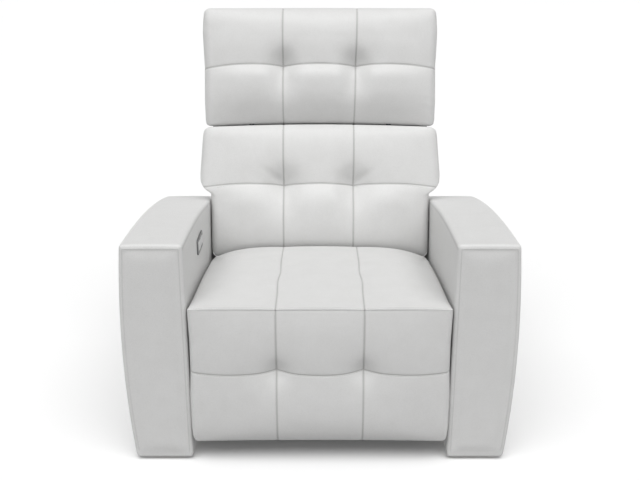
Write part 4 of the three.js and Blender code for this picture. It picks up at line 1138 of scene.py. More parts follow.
@dataclass
class TuftedPad:
    """An upright cushion with two channels, one tufted seam across it, and a crown."""

    name: str
    half: float
    low: float
    high: float
    tuft: float
    thick: float
    edge: float
    crown: float
    belly: float
    tuft_depth: float
    tuft_reach: Point3
    sides: Sequence[Point2]
    radius: float = 18 * MM
    chest: float = 5 * MM
    panel: float = 3.5 * MM
    row_depth: float = 2.5 * MM
    low_roll: Point2 = (0.0, 1.0)
    high_roll: Point2 = (0.0, 1.0)
    arch: float = 9 * MM
    side_arch: float = 9 * MM
    end_fall: float = 3 * MM
    groove_depth: float = 1.3 * MM
    groove_width: float = 2.2 * MM
    top_share: float = 1.0
    low_share: float = 1.0
    front_share: float = 1.0
    crest: float = 0.5
    lip: float = 40 * MM
    bow: float = 0.0
    bow_at: float = 365 * MM
    bow_reach: float = 45 * MM
    bow_fade: Point2 = (12 * MM, 30 * MM)
    drift: Point2 = (0.0, 0.0)
    drift_reach: float = 80 * MM
    hold: float = 9 * MM
    rear_low: float = 0.0
    rear_high: float = 0.0
    over: Sequence[Point2] = ()
    under: Sequence[Point2] = ()
    tucked: Sequence[Face] = (Face.BOTTOM,)
    folds: Sequence[Fold] = ()
    stuffing: Stuffing = Stuffing()

    def seam_height(self, x: Any) -> Any:
        """Height of the seam across: it rises between the tufts and falls to the sides.

        Args:
            x: Places across.

        Returns:
            The heights.
        """
        size = np.abs(x)
        inner = self.arch * (1 - (size / CHANNEL_X) ** 2)
        share = (size - CHANNEL_X) / (self.half - CHANNEL_X)
        outer = self.side_arch * 4 * share * (1 - share) - self.end_fall * share**2
        return self.tuft + np.where(size < CHANNEL_X, inner, outer)

    def drifted(self, x: np.ndarray, up: np.ndarray) -> np.ndarray:
        """How far the right channel, sewn a little askew, lies off its place at each height."""
        off = np.interp(up, (self.low, self.high), self.drift)
        return off * bell(x - CHANNEL_X, self.drift_reach)

    def legs(self, x: float) -> list[np.ndarray]:
        """The ring at a place across: the front in two legs, then top, rear and underside.

        Args:
            x: The place across.

        Returns:
            The legs in order.
        """
        inset = drawn_in(self.half - abs(x), self.radius)
        rear = self.thick - inset / 2
        front, above, below = inset * self.front_share, inset * self.top_share, inset * self.low_share
        corners = [(front, self.low + below), (front, self.high - above)]
        corners += [(t + inset, s - above) for t, s in self.over]
        corners.append((rear, (self.rear_high or self.high) - above))
        corners.append((rear, (self.rear_low or self.low) + below))
        corners += [(t + inset, s + below) for t, s in self.under]
        shrink = max(self.radius - inset, 2 * MM)
        soft = max(min(self.edge, self.radius) - inset, 1.2 * MM)
        small = [3 * MM]
        radii = [soft, soft, *small * len(self.over), shrink, shrink, *small * len(self.under)]
        front, *rest = corner_legs(corners, radii)
        lower, upper = split_leg(front, 1, float(self.seam_height(x)))
        return [lower, upper, *rest]

    def plan(self) -> RingPlan:
        """How the rings run.

        Returns:
            The plan.
        """
        tops, bottoms = 1 + len(self.over), 1 + len(self.under)
        faces = [Face.FRONT] * 2 + [Face.TOP] * tops + [Face.REAR] + [Face.BOTTOM] * bottoms
        fine = [2.5 * MM, 1.5 * MM, 1.5 * MM, *[3 * MM] * (tops - 1)]
        fine += [6 * MM, 6 * MM, *[3 * MM] * (bottoms - 1)]
        return RingPlan(self.legs, faces, fine, 8.5 * MM)

    def build(self, place: Placing) -> bpy.types.Object:
        """The cushion, stuffed, sewn and dressed.

        Args:
            place: Turns the form's places into the frame's.

        Returns:
            The cushion.
        """
        places = across_places(self.half, self.radius)
        form = ring_form(self.name, Axis.X, places, self.plan(), 0.0, bulge=4 * MM)
        self.shape_outline(form)
        x, up = form.flat[:, 0], form.flat[:, 2]
        form.points[:, 0] += self.drifted(x, up)
        seam = self.seam_height(x)
        reach = np.where(form.on(Face.FRONT), 1.0, 1 - smooth(form.flat[:, 1], 0.0, self.lip))
        form.points[:, 1] -= self.relief(x, up, seam) * reach
        near = bell(up - self.bow_at, self.bow_reach) * (1 - smooth(form.flat[:, 1], *self.bow_fade))
        form.points[:, 2] += self.bow * (1 - 2 * (x / self.half) ** 2) * near
        self.stuffing.fill(form, self.held(form))
        across = panel_fullness(x, self.half)
        rows = np.where(up < seam, full(up, self.low, seam), full(up, seam, self.high))
        form.crown = np.sqrt(np.clip(across * rows, 0, 1)) * form.on(Face.FRONT)
        self.sew(form, seam)
        piece = form.to_object(place)
        return piece

    def relief(self, x: np.ndarray, up: np.ndarray, seam: np.ndarray) -> np.ndarray:
        """How far the stuffed front stands out before the cover is filled.

        Args:
            x: Places across.
            up: Places up.
            seam: The seam's height at each.

        Returns:
            Metres forward.
        """
        lower = np.clip((up - self.low) / (seam - self.low), 0, 1)
        upper = np.clip((up - seam) / (self.high - seam), 0, 1)
        broad = 1 - np.abs(x / self.half) ** 4
        bulk = self.crown * full(up, self.low, self.high, 2.0)
        bulk = bulk + self.belly * leaf(lower, self.crest) * (up < seam) + self.chest * np.sin(np.pi * upper)
        quilt = self.panel * np.sqrt(np.clip(panel_fullness(x, self.half), 0, 1))
        quilt = quilt * full(up, self.low, self.high)
        rise = up - seam
        wide, above, below = self.tuft_reach
        reach = np.where(rise > 0, above, below)
        row = bell(rise, reach * 0.8) * self.row_depth
        tufts = bell(np.hypot((np.abs(x) - CHANNEL_X) / wide, rise / reach), 1.0) * self.tuft_depth
        rolls = self.low_roll[0] * np.clip(1 - (up - self.low) / self.low_roll[1], 0, 1) ** 2
        rolls = rolls + self.high_roll[0] * np.clip(1 - (self.high - up) / self.high_roll[1], 0, 1) ** 2
        return broad * bulk + quilt - row - tufts - rolls

    def held(self, form: SoftForm) -> np.ndarray:
        """Where the cover is tied down at the tufts, or rests on the frame.

        Args:
            form: The form.

        Returns:
            1 where it is held, 0 where it is free.
        """
        x, up = form.flat[:, 0], form.flat[:, 2]
        tufts = bell(np.hypot(np.abs(x) - CHANNEL_X, up - self.tuft), self.hold) * form.on(Face.FRONT)
        held = np.where(tufts > 0.3, tufts, 0.0)
        held[form.on(Face.REAR, Face.CAP, *self.tucked)] = 1.0
        ends = smooth(np.abs(x), self.half - 2.2 * self.radius, self.half - 0.5 * self.radius)
        deep = smooth(form.flat[:, 1], self.thick * 0.3, self.thick * 0.6)
        return np.maximum(np.maximum(held, ends), deep)

    def shape_outline(self, form: SoftForm) -> None:
        """Gives the sides their own width at each height.

        Args:
            form: The form.
        """
        heights, widths = zip(*self.sides)
        wanted = np.interp(form.flat[:, 2], heights, widths)
        form.points[:, 0] *= 1 + (wanted / self.half - 1) * np.abs(form.flat[:, 0] / self.half) ** 3

    def sew(self, form: SoftForm, seam: np.ndarray) -> None:
        """Adds the folds, the two channels and the seam across.

        Args:
            form: The form.
            seam: The seam's height at each point.
        """
        x, up = form.flat[:, 0], form.flat[:, 2]
        front = form.on(Face.FRONT).astype(float)
        pull = np.zeros(len(x))
        for fold in self.folds:
            pull += fold.pull(x, up)
        form.push(-pull * front)
        around = form.on(Face.FRONT, Face.TOP, Face.BOTTOM).astype(float)
        form.groove(np.abs(x) - CHANNEL_X, around, self.groove_depth, self.groove_width)
        form.groove(up - seam, front, self.groove_depth, self.groove_width)


def in_mm(*pairs: Point2) -> tuple[Point2, ...]:
    """Pairs of sizes, given in millimetres."""
    return tuple((one * MM, other * MM) for one, other in pairs)


def crease(*sizes: float) -> Fold:
    """A fold from both places of its start and of its end, its depth and its width, in millimetres."""
    x, y, far_x, far_y, depth, width = (size * MM for size in sizes)
    return Fold((x, y), (far_x, far_y), depth, width)


@dataclass
class WingedPad(TuftedPad):
    """The back's cushion, wider above the arms where two wings reach over them."""

    narrow: float = 331.5 * MM
    wing_low: float = 143 * MM
    wing_high: float = 172 * MM
    wing_slope: float = 65 / 70
    wing_thick: float = 70 * MM

    def shape_outline(self, form: SoftForm) -> None:
        """Narrow between the arms and behind the wings, and wide over the arms.

        Args:
            form: The form.
        """
        x, t, s = form.flat.T
        heights, widths = zip(*self.sides)
        lifted = s - self.wing_slope * np.clip(t, 0, self.wing_thick)
        wing = smooth(lifted, self.wing_low, self.wing_high)
        wing *= 1 - smooth(t, self.wing_thick - 18 * MM, self.wing_thick)
        wanted = self.narrow + (np.interp(s, heights, widths) - self.narrow) * wing
        form.points[:, 0] *= 1 + (wanted / self.half - 1) * np.abs(x / self.half) ** 4


HEADREST_PAD = TuftedPad(
    name="headrest_leather_cushion",
    half=350 * MM, low=364.2 * MM, high=712 * MM, tuft=541 * MM, thick=133 * MM,
    radius=20 * MM, edge=12 * MM, crown=20 * MM, belly=20 * MM, crest=0.76, low_share=0.6,
    drift=(-8 * MM, 0.0), bow=4 * MM,
    tuft_depth=36 * MM, tuft_reach=(36 * MM, 42 * MM, 82 * MM),
    arch=5 * MM, side_arch=6 * MM, end_fall=9 * MM,
    low_roll=(18.4 * MM, 112 * MM), high_roll=(8 * MM, 45 * MM),
    rear_low=377 * MM, under=in_mm((19, 377), (13, 365)),
    sides=in_mm((367, 347), (440, 348), (541, 346), (640, 351), (712, 348)),
    folds=(
        crease(348, 410, 300, 418, 1.6, 5),
        crease(348, 432, 310, 446, 1.3, 5),
        crease(-348, 660, -300, 640, 1.4, 7),
    ),
)

BACK_PAD = WingedPad(
    name="back_leather_cushion",
    half=329 * MM, low=-38 * MM, high=363 * MM, tuft=181 * MM, thick=139 * MM,
    edge=9 * MM, crown=12 * MM, belly=20 * MM, crest=0.70,
    drift=(-10 * MM, -9 * MM), lip=18 * MM, bow=4 * MM,
    tuft_depth=35 * MM, tuft_reach=(46 * MM, 52 * MM, 80 * MM), end_fall=5 * MM,
    low_roll=(14 * MM, 110 * MM), high_roll=(8 * MM, 36 * MM),
    tucked=(Face.TOP, Face.BOTTOM),
    rear_high=351 * MM, over=in_mm((13, 363), (17, 351)),
    sides=in_mm((-40, 331), (150, 352), (168, 362), (215, 363), (270, 359), (330, 355), (363, 352)),
    folds=(
        crease(-113, 192, -188, 246, 3.6, 9),
        crease(113, 192, 188, 246, 3.6, 9),
        crease(326, 104, 292, 108, 2.4, 4),
        crease(327, 84, 298, 82, 2.0, 4),
        crease(350, 196, 312, 206, 2.0, 5),
        crease(352, 214, 318, 230, 1.7, 5),
        crease(-352, 205, -322, 220, 1.5, 6),
    ),
)


# Places in front, measured from the front faces of the arms

FRONT_Y = float(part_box("arm_front_panel_left")[0].y)

# The footrest is stowed upright in front of the seat
FOOT_PAD = TuftedPad(
    name="footrest_leather_cushion",
    half=331 * MM, low=62 * MM, high=440.5 * MM, tuft=271 * MM, thick=95 * MM,
    radius=13 * MM, edge=1.2 * MM, crown=6 * MM, belly=3 * MM, chest=2 * MM, panel=2.5 * MM,
    row_depth=2 * MM, tuft_depth=14 * MM, tuft_reach=(27 * MM, 34 * MM, 40 * MM),
    low_roll=(6 * MM, 45 * MM), arch=-9 * MM, side_arch=-8 * MM, end_fall=4 * MM,
    top_share=0.2, low_share=1.7, front_share=0.8,
    tucked=(Face.TOP,), rear_low=72 * MM, rear_high=404 * MM,
    sides=in_mm((62, 333), (103, 334), (192, 333), (264, 329), (348, 328), (432, 331)),
)
FOOT_SET_BACK = 21 * MM


def foot_place(points: np.ndarray) -> np.ndarray:
    """Turns the footrest's (x, depth, height) into the frame's places."""
    return points + np.array([0.0, FRONT_Y - FOOT_SET_BACK + FOOT_PAD.crown, 0.0])


@dataclass
class SeatCushion:
    """The seat's cushion: a lip over the footrest, a crowned top with two channels, lower along the arms."""

    name: str = "seat_leather_cushion"
    half: float = 330 * MM
    nose: float = -15.5 * MM
    nose_top: float = 443 * MM
    nose_thick: float = 3.2 * MM
    face: float = 97 * MM
    face_top: float = 411 * MM
    rear: float = 502 * MM
    side_front: float = 442 * MM
    side_rear: float = 390 * MM
    middle_rear: float = 426 * MM
    nose_crown: float = 5 * MM
    panel: float = 5 * MM
    radius: float = 16 * MM
    seam: Point2 = (1.4 * MM, 2.4 * MM)
    jog: Point2 = (3.5 * MM, 45 * MM)
    jog_at: float = 200 * MM
    jog_reach: float = 75 * MM
    stitch_in: float = 3 * MM
    stitch_from: float = 600 * MM
    full_front: float = 60 * MM
    full_rear: float = 15 * MM
    stuffing: Stuffing = Stuffing(cap=22 * MM)
    wrinkles: tuple[Fold, ...] = (
        crease(-113, 330, -190, 352, 1.3, 9),
        crease(-113, 300, -40, 322, 1.2, 9),
        crease(113, 318, 185, 300, 1.3, 9),
        crease(113, 352, 52, 372, 1.1, 9),
        crease(-113, 180, -62, 196, 0.9, 8),
        crease(113, 200, 172, 214, 0.9, 8),
        crease(-322, 380, -262, 402, 1.4, 8),
        crease(322, 372, 268, 398, 1.4, 8),
    )

    def top(self, x: Any, y: Any) -> Any:
        """Height of the top without its panels.

        Args:
            x: Places across.
            y: Depths behind the arm fronts.

        Returns:
            The heights.
        """
        share = np.clip((y - self.nose) / (self.rear - self.nose), 0, 1)
        side = self.side_front + (self.side_rear - self.side_front) * share**1.6
        middle = self.nose_top + self.nose_crown * np.sin(np.pi * share)
        middle = middle + (self.middle_rear - self.nose_top) * share**2
        return side + (middle - side) * (1 - np.abs(x / self.half) ** 4)

    def legs(self, x: float) -> list[np.ndarray]:
        """The ring at a place across: nose, top, rear, bottom, face and the lip's underside.

        Args:
            x: The place across.

        Returns:
            The legs in order.
        """
        inset = drawn_in(self.half - abs(x), self.radius)
        low = float(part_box("seat_webbing")[1].z) + 1 * MM
        start, end = self.nose + inset * 0.4, self.rear - inset
        depths = np.linspace(start, end, 12)
        drop = inset * (0.2 + 0.8 * smooth(depths, self.nose, self.face))
        crest = [(float(y), float(self.top(x, y) - d)) for y, d in zip(depths, drop)]
        lip = float(self.top(x, start)) - self.nose_thick
        face = self.face + inset
        corners = [(start + 0.5 * MM, lip), *crest, (end, low), (face, low), (face, self.face_top - inset)]
        soft = max(self.radius - inset, 2 * MM)
        radii = [0.5 * MM, 1.2 * MM, *[60 * MM] * 10, soft, soft, 8 * MM, 5 * MM]
        front, *rest = corner_legs(corners, radii, arc_steps=4)
        top = np.vstack([rest[0], *[leg[1:] for leg in rest[1:11]]])
        return [front, top, rest[11], rest[12], rest[13], rest[14]]

    def plan(self) -> RingPlan:
        """How the rings run."""
        faces = [Face.FRONT, Face.TOP, Face.REAR, Face.BOTTOM, Face.BOTTOM, Face.BOTTOM]
        return RingPlan(self.legs, faces, [1.2 * MM, 1.2 * MM, 5 * MM, 6 * MM, 8 * MM, 3 * MM], 9 * MM)

    def channel(self, y: np.ndarray) -> np.ndarray:
        """Where a channel runs: nearly straight, with a slight jog halfway."""
        off = y - self.jog_at
        return CHANNEL_X - self.jog[0] * np.sin(off / self.jog[1]) * bell(off, self.jog_reach)

    def build(self) -> bpy.types.Object:
        """The dressed cushion.

        Returns:
            The cushion.
        """
        places = across_places(self.half, self.radius)
        form = ring_form(self.name, Axis.X, places, self.plan(), 0.0, bulge=2 * MM)
        x, y = form.flat[:, 0], form.flat[:, 1]
        across = panel_fullness(x, self.half)
        along = full(y, self.nose - self.full_front, self.rear + self.full_rear, 3.0)
        top = form.on(Face.TOP)
        form.points[:, 2] += self.panel * across * np.sqrt(np.clip(along, 0, 1)) * top
        self.stuffing.fill(form, self.held(form))
        self.sew(form, across * along)
        piece = form.to_object(lambda points: points + np.array([0.0, FRONT_Y, 0.0]))
        return piece

    def held(self, form: SoftForm) -> np.ndarray:
        """Where the cover is sewn down or rests on the webbing, the plate and the lip.

        Args:
            form: The form.

        Returns:
            How firmly each point is held.
        """
        x = form.flat[:, 0]
        held = bell(np.abs(x) - CHANNEL_X, 3 * MM)
        held[~form.on(Face.TOP)] = 1.0
        held[form.on(Face.TOP) & (form.flat[:, 1] < self.nose + 6 * MM)] = 1.0
        return np.where(held > 0.35, held, 0.0)

    def sew(self, form: SoftForm, crown: np.ndarray) -> None:
        """Adds the channels and a few faint wrinkles.

        Args:
            form: The form.
            crown: How full it stands at each point.
        """
        x, y = form.flat[:, 0], form.flat[:, 1]
        top = form.on(Face.TOP).astype(float)
        form.crown = np.sqrt(np.clip(crown, 0, 1)) * top
        for fold in self.wrinkles:
            form.push(-fold.pull(x, y) * top)
        around = form.on(Face.TOP, Face.FRONT).astype(float)
        form.groove(np.abs(x) - self.channel(y), around, *self.seam)

    def stitch(self, cover: bpy.types.Object) -> None:
        """Topstitches the finished cushion just behind its front edge.

        Args:
            cover: The cushion.
        """
        x = np.linspace(-self.half + 14 * MM, self.half - 14 * MM, 160)
        y = FRONT_Y + self.nose + self.stitch_in
        path = np.stack([x, np.full(len(x), y), np.full(len(x), self.stitch_from)], axis=1)
        sewing = SeamStitches(cover)
        sewing.line(path, (0.0, 0.0, -1.0))
        sewing.build("seat_edge_stitches", "seat")


@dataclass
class Arm:
    """One upholstered arm: bowed outside, a top that falls to the rear, a sewn panel on its front."""

    side: str
    sign: float
    inner: float = 336 * MM
    bow: float = 504.2 * MM
    bow_height: float = 330 * MM
    bow_radius: float = 2970 * MM
    height: float = 606 * MM
    low: float = 6.5 * MM
    top_radius: float = 2970 * MM
    drop_start: float = 700 * MM
    drop_radius: float = 300 * MM
    length: float = 849 * MM
    edge: float = 8 * MM
    corner: float = 10 * MM
    seam_inset: float = 9.5 * MM
    top_seam: float = 11 * MM
    front_pad: float = 3.2 * MM
    front_reach: float = 42 * MM
    top_pad: float = 1.0 * MM
    top_reach: float = 50 * MM
    wave: float = 0.25 * MM
    wave_long: Point2 = (83 * MM, 117 * MM)
    fit: float = 0.3 * MM
    cut_over: float = 20 * MM

    def top(self, y: Any) -> Any:
        """Height of the top at a depth behind the arm's front."""
        late = np.maximum(y - self.drop_start, 0.0)
        return self.height - y**2 / (2 * self.top_radius) - late**2 / (2 * self.drop_radius)

    def outer(self, z: Any) -> Any:
        """Place of the bowed side at a height."""
        return self.bow - (z - self.bow_height) ** 2 / (2 * self.bow_radius)

    def legs(self, y: float) -> list[np.ndarray]:
        """The ring at a depth: up the inner side, over the top, down the bowed side and under.

        Args:
            y: The depth.

        Returns:
            The legs in order.
        """
        inset = max(drawn_in(y, self.edge), drawn_in(self.length - y, self.edge * 2))
        low, high = self.low + inset, float(self.top(y)) - inset
        heights = np.linspace(high, low, 9)
        side = [(float(self.outer(z)) - inset, float(z)) for z in heights]
        corners = [(self.inner + inset, low), (self.inner + inset, high), *side]
        small = max(self.corner - inset, 2 * MM)
        radii = [small, small, small, *[2.0] * 7, small * 1.3]
        inner, top, *rest = corner_legs(corners, radii, arc_steps=4)
        outer = np.vstack([rest[0], *[leg[1:] for leg in rest[1:8]]])
        return [inner, top, outer, rest[8]]

    def plan(self) -> RingPlan:
        """How the rings run."""
        faces = [Face.FRONT, Face.TOP, Face.REAR, Face.BOTTOM]
        return RingPlan(self.legs, faces, [1.6 * MM, 1.6 * MM, 1.6 * MM, 2.5 * MM], 13 * MM)

    def places(self) -> list[float]:
        """Depths of the rings.

        Returns:
            Rising depths.
        """
        front = [self.edge * (1 - math.sin(math.pi / 2 * k / 5)) for k in range(5, -1, -1)]
        inner = graded(self.edge, self.length - self.edge * 2, 1.5 * MM, 5 * MM, 14 * MM)
        end = self.length - self.edge * 2
        return front[:-1] + inner + [end, *rounded_end(self.length, self.edge * 2, 5)]

    def build(self) -> bpy.types.Object:
        """The dressed arm.

        Returns:
            The arm's cover.
        """
        name = f"arm_leather_cover_{self.side}"
        form = ring_form(name, Axis.Y, self.places(), self.plan(), 300 * MM)
        self.soften(form)
        piece = form.to_object(self.place)
        if (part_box("switch_housing")[0].x > 0) == (self.sign > 0):
            self.open_for_switch(piece)
        return piece

    def open_for_switch(self, piece: bpy.types.Object) -> None:
        """Cuts the pocket that the switch sits in.

        Args:
            piece: The cover.
        """
        low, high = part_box("switch_housing")
        room = Vector((self.fit, self.fit, self.fit))
        low, high = low - room, high + room
        high.x += self.cut_over
        corners = [(x, y, z) for x in (low.x, high.x) for y in (low.y, high.y) for z in (low.z, high.z)]
        faces = [(0, 1, 3, 2), (4, 6, 7, 5), (0, 4, 5, 1), (2, 3, 7, 6), (0, 2, 6, 4), (1, 5, 7, 3)]
        cutter = add_mesh("switch_pocket", np.array(corners), faces, Finish.LEATHER)
        outwards(cutter)
        pocket = piece.modifiers.new("pocket", "BOOLEAN")
        pocket.operation = "DIFFERENCE"
        pocket.solver = "MANIFOLD"
        pocket.object = cutter
        apply_modifiers(piece)
        bpy.data.objects.remove(cutter)

    def place(self, points: np.ndarray) -> np.ndarray:
        """Puts the arm on its side, its front at the arm fronts."""
        return points * np.array([self.sign, 1.0, 1.0]) + np.array([0.0, FRONT_Y, 0.0])

    def soften(self, form: SoftForm) -> None:
        """Pads every face slightly, and sews the front panel and the edge of the top.

        Args:
            form: The form.
        """
        x, y, z = form.flat.T
        top, outer = self.top(y), self.outer(z)
        from_edge = np.minimum(np.minimum(x - self.inner, outer - x), np.minimum(top - z, z - self.low))
        front = form.on(Face.CAP) & (y < self.length / 2)
        form.points[:, 1] -= self.front_pad * smooth(from_edge, self.seam_inset, self.front_reach) * front
        reach = self.top_reach
        crown = smooth(x, self.inner, self.inner + reach) * smooth(outer - x, 0.0, reach)
        form.points[:, 2] += self.top_pad * crown * form.on(Face.TOP)
        along, up = self.wave_long
        waves = np.sin(y / along + 1.0) * np.sin(z / up) * form.on(Face.REAR, Face.FRONT)
        form.points[:, 0] += self.wave * waves
        seam_band = (front & (z > self.low + 20 * MM)).astype(float)
        edge = np.minimum(np.minimum(x - self.inner, outer - x), top - z)
        # The last number in each groove is how dark the painted shade along that seam is.
        form.groove(edge - self.seam_inset, seam_band, 1.3 * MM, 2.2 * MM, 0.45)
        inner_top = form.on(Face.FRONT) & (y > 4 * MM)
        form.groove(top - z - self.top_seam, inner_top.astype(float), 0.9 * MM, 2.2 * MM, 0.5)


# Hard pieces


def grid_faces(rows: int, columns: int) -> list[tuple[int, ...]]:
    """Quads over an open grid of points that is stored row by row.

    Args:
        rows: Number of rows.
        columns: Points in a row.

    Returns:
        The quads.
    """
    return [
        (r * columns + c, r * columns + c + 1, (r + 1) * columns + c + 1, (r + 1) * columns + c)
        for r in range(rows - 1)
        for c in range(columns - 1)
    ]


def add_mesh(name: str, points: np.ndarray, faces: Sequence[tuple[int, ...]],
             finish: Finish) -> bpy.types.Object:
    """Links a new mesh object with one finish.

    Args:
        name: Its name.
        points: Its points.
        faces: Its faces.
        finish: Its finish.

    Returns:
        The object.
    """
    mesh = bpy.data.meshes.new(name)
    mesh.from_pydata(np.asarray(points).tolist(), [], faces)
    mesh.materials.append(finish.material())
    return linked(name, mesh)


def apply_modifiers(thing: bpy.types.Object) -> bpy.types.Object:
    """Keeps what an object's modifiers make, without the modifiers.

    Args:
        thing: The object.

    Returns:
        The same object.
    """
    graph = bpy.context.evaluated_depsgraph_get()
    ready = thing.evaluated_get(graph)
    done = bpy.data.meshes.new_from_object(ready, preserve_all_data_layers=True, depsgraph=graph)
    thing.modifiers.clear()
    thing.data = done
    return thing


@dataclass(frozen=True)
class HardPiece:
    """A finished copy of a CAD node: edges bevelled, flat faces flat and round ones smooth."""

    node: str
    finish: Finish
    bevel: float
    segments: int
    sharp: float = math.radians(34)
    same_point: float = 0.002 * MM
    same_plane: float = math.radians(0.6)

    def build(self) -> bpy.types.Object:
        """Makes the copy and lets it stand for the node.

        Returns:
            The copy.
        """
        source = NODES[self.node]
        work = bmesh.new()
        work.from_mesh(source.data)
        work.transform(source.matrix_world)
        bmesh.ops.remove_doubles(work, verts=work.verts, dist=self.same_point)
        edges = [edge for edge in work.edges if edge.is_manifold]
        bmesh.ops.dissolve_limit(work, angle_limit=self.same_plane, verts=work.verts, edges=edges)
        bmesh.ops.recalc_face_normals(work, faces=work.faces)
        mesh = bpy.data.meshes.new(f"{self.node}_finished")
        work.to_mesh(mesh)
        work.free()
        mesh.materials.append(self.finish.material())
        made = linked(mesh.name, mesh)
        edge = made.modifiers.new("edges", "BEVEL")
        edge.width = self.bevel
        edge.segments = self.segments
        edge.limit_method = "ANGLE"
        edge.angle_limit = self.sharp
        edge.miter_outer = "MITER_ARC"
        apply_modifiers(made)
        made.data.shade_smooth()
        made.data.set_sharp_from_angle(angle=self.sharp)
        return finish_piece(made, BODY_OF[self.node], self.finish.value.name, self.node)


def place_back(across: np.ndarray, up: np.ndarray, depth: np.ndarray) -> np.ndarray:
    """Places of the back's frame from places across, up it and behind its front plane."""
    return LEAN.to_frame(np.stack([across, depth, up], axis=-1))


def place_seat(across: np.ndarray, up: np.ndarray, depth: np.ndarray) -> np.ndarray:
    """Places in the frame from places across, behind the arm fronts and up."""
    return np.stack([across, up + FRONT_Y, depth], axis=-1)


@dataclass(frozen=True)
class StrapWeb:
    """Elastic straps woven over and under each other, pulled tight between two rails."""

    name: str
    half: float
    start: float
    end: float
    level: float
    place: Callable[[np.ndarray, np.ndarray, np.ndarray], np.ndarray]
    strap: float = 58 * MM
    across_count: int = 5
    along_count: int = 7
    thick: float = 1.1 * MM
    lift: float = 0.85 * MM
    steps_each: int = 8

    def build(self) -> bpy.types.Object:
        """The straps as one mesh.

        Returns:
            The straps.
        """
        points: list[np.ndarray] = []
        faces: list[tuple[int, ...]] = []
        xs = np.linspace(-self.half + self.strap / 2, self.half - self.strap / 2, self.along_count)
        ys = np.linspace(self.start + self.strap / 2, self.end - self.strap / 2, self.across_count)
        for index, x in enumerate(xs):
            self._add(points, faces, (x, None), ys, (self.start, self.end), 1 if index % 2 else -1)
        for index, y in enumerate(ys):
            self._add(points, faces, (None, y), xs, (-self.half, self.half), -1 if index % 2 else 1)
        made = add_mesh(self.name, np.vstack(points), faces, Finish.WEBBING)
        made.data.shade_smooth()
        made.data.set_sharp_from_angle(angle=math.radians(50))
        outwards(made)
        return made

    def _add(self, points: list[np.ndarray], faces: list[tuple[int, ...]], line: tuple[Any, Any],
             crossings: np.ndarray, span: Point2, sign: int) -> None:
        """Adds one strap as a closed ribbon that rises and falls at its crossings.

        Args:
            points: Blocks of points, added to.
            faces: Faces, added to.
            line: The place that the strap keeps, None along it.
            crossings: Where it crosses others.
            span: Its ends.
            sign: 1 or -1, whether it starts below.
        """
        count = self.steps_each * len(crossings) + 1
        run = np.linspace(span[0], span[1], count)
        phase = np.interp(run, crossings, np.pi * np.arange(len(crossings)))
        wave = sign * self.lift * np.cos(phase)
        half, thin = self.strap / 2, self.thick / 2
        section = [(-half, -thin), (half, -thin), (half, thin), (-half, thin)]
        base = sum(len(block) for block in points)
        for off, height in section:
            if line[0] is not None:
                across, up = np.full(count, line[0] + off), run
            else:
                across, up = run, np.full(count, line[1] + off)
            points.append(self.place(across, up, self.level + wave + height))
        for side in range(4):
            one, two = base + side * count, base + (side + 1) % 4 * count
            faces.extend((one + k, one + k + 1, two + k + 1, two + k) for k in range(count - 1))
        faces.append(tuple(base + side * count for side in range(4)))
        faces.append(tuple(base + side * count + count - 1 for side in (3, 2, 1, 0)))


@dataclass(frozen=True)
class RearShell:
    """The leather cover of a rear face: a crowned sheet that wraps round the frame's sides."""

    name: str
    half: float
    front: float
    rear: float
    low: float
    high: float
    closed_top: bool
    radius: float = 16 * MM
    wall: float = 6.6 * MM
    crown: float = 3 * MM
    thickness_clamp: float = 1.5

    def _across(self) -> tuple[np.ndarray, np.ndarray]:
        """Places across and behind, from one front edge round the rear to the other.

        Returns:
            The places across and those behind.
        """
        half, front, rear = self.half, self.front, self.rear
        corners = [(half, front), (half, rear), (-half, rear), (-half, front)]
        leg = corner_legs(corners, [1 * MM, self.radius, self.radius, 1 * MM])
        path = np.vstack([leg[0], leg[1][1:], leg[2][1:]])
        shares = np.array(graded(0.0, 1.0, 0.004, 0.004, 0.016) + [1.0])
        line = resample(path, shares)
        return line[:, 0], line[:, 1]

    def build(self) -> bpy.types.Object:
        """The dressed panel, as a closed shell.

        Returns:
            The panel.
        """
        x, t = self._across()
        heights = graded(self.low, self.high - self.radius, 3 * MM, 6 * MM, 12 * MM)
        rows = [(s, self.rear) for s in heights + [self.high - self.radius]]
        if self.closed_top:
            turns = np.linspace(0, math.pi / 2, 7)[1:]
            rows += [(self.high - self.radius * (1 - math.sin(a)),
                      self.rear - self.radius * (1 - math.cos(a))) for a in turns]
            depths = np.linspace(self.rear - self.radius, self.front + 2 * MM, 8)[1:]
            rows += [(self.high, float(depth)) for depth in depths]
        else:
            rows += [(s, self.rear) for s in np.linspace(self.high - self.radius, self.high, 5)[1:]]
        depth = self.rear - self.front
        blocks = []
        for s, cap in rows:
            behind = self.front + (t - self.front) * (cap - self.front) / depth
            up = np.clip((s - self.low) / (self.high - self.low), 0, 1)
            swell = self.crown * (1 - np.abs(x / self.half) ** 6) * (1 - abs(2 * up - 1) ** 6)
            behind = behind + swell * smooth(t, self.rear - self.radius, self.rear - 1 * MM)
            blocks.append(place_back(x, np.full(len(x), s), behind))
        made = add_mesh(self.name, np.vstack(blocks), grid_faces(len(rows), len(x)), Finish.LEATHER)
        made.data.shade_smooth()
        shell = made.modifiers.new("leather", "SOLIDIFY")
        shell.thickness = self.wall
        shell.offset = -1.0
        shell.thickness_clamp = self.thickness_clamp
        apply_modifiers(made)
        outwards(made)
        return made


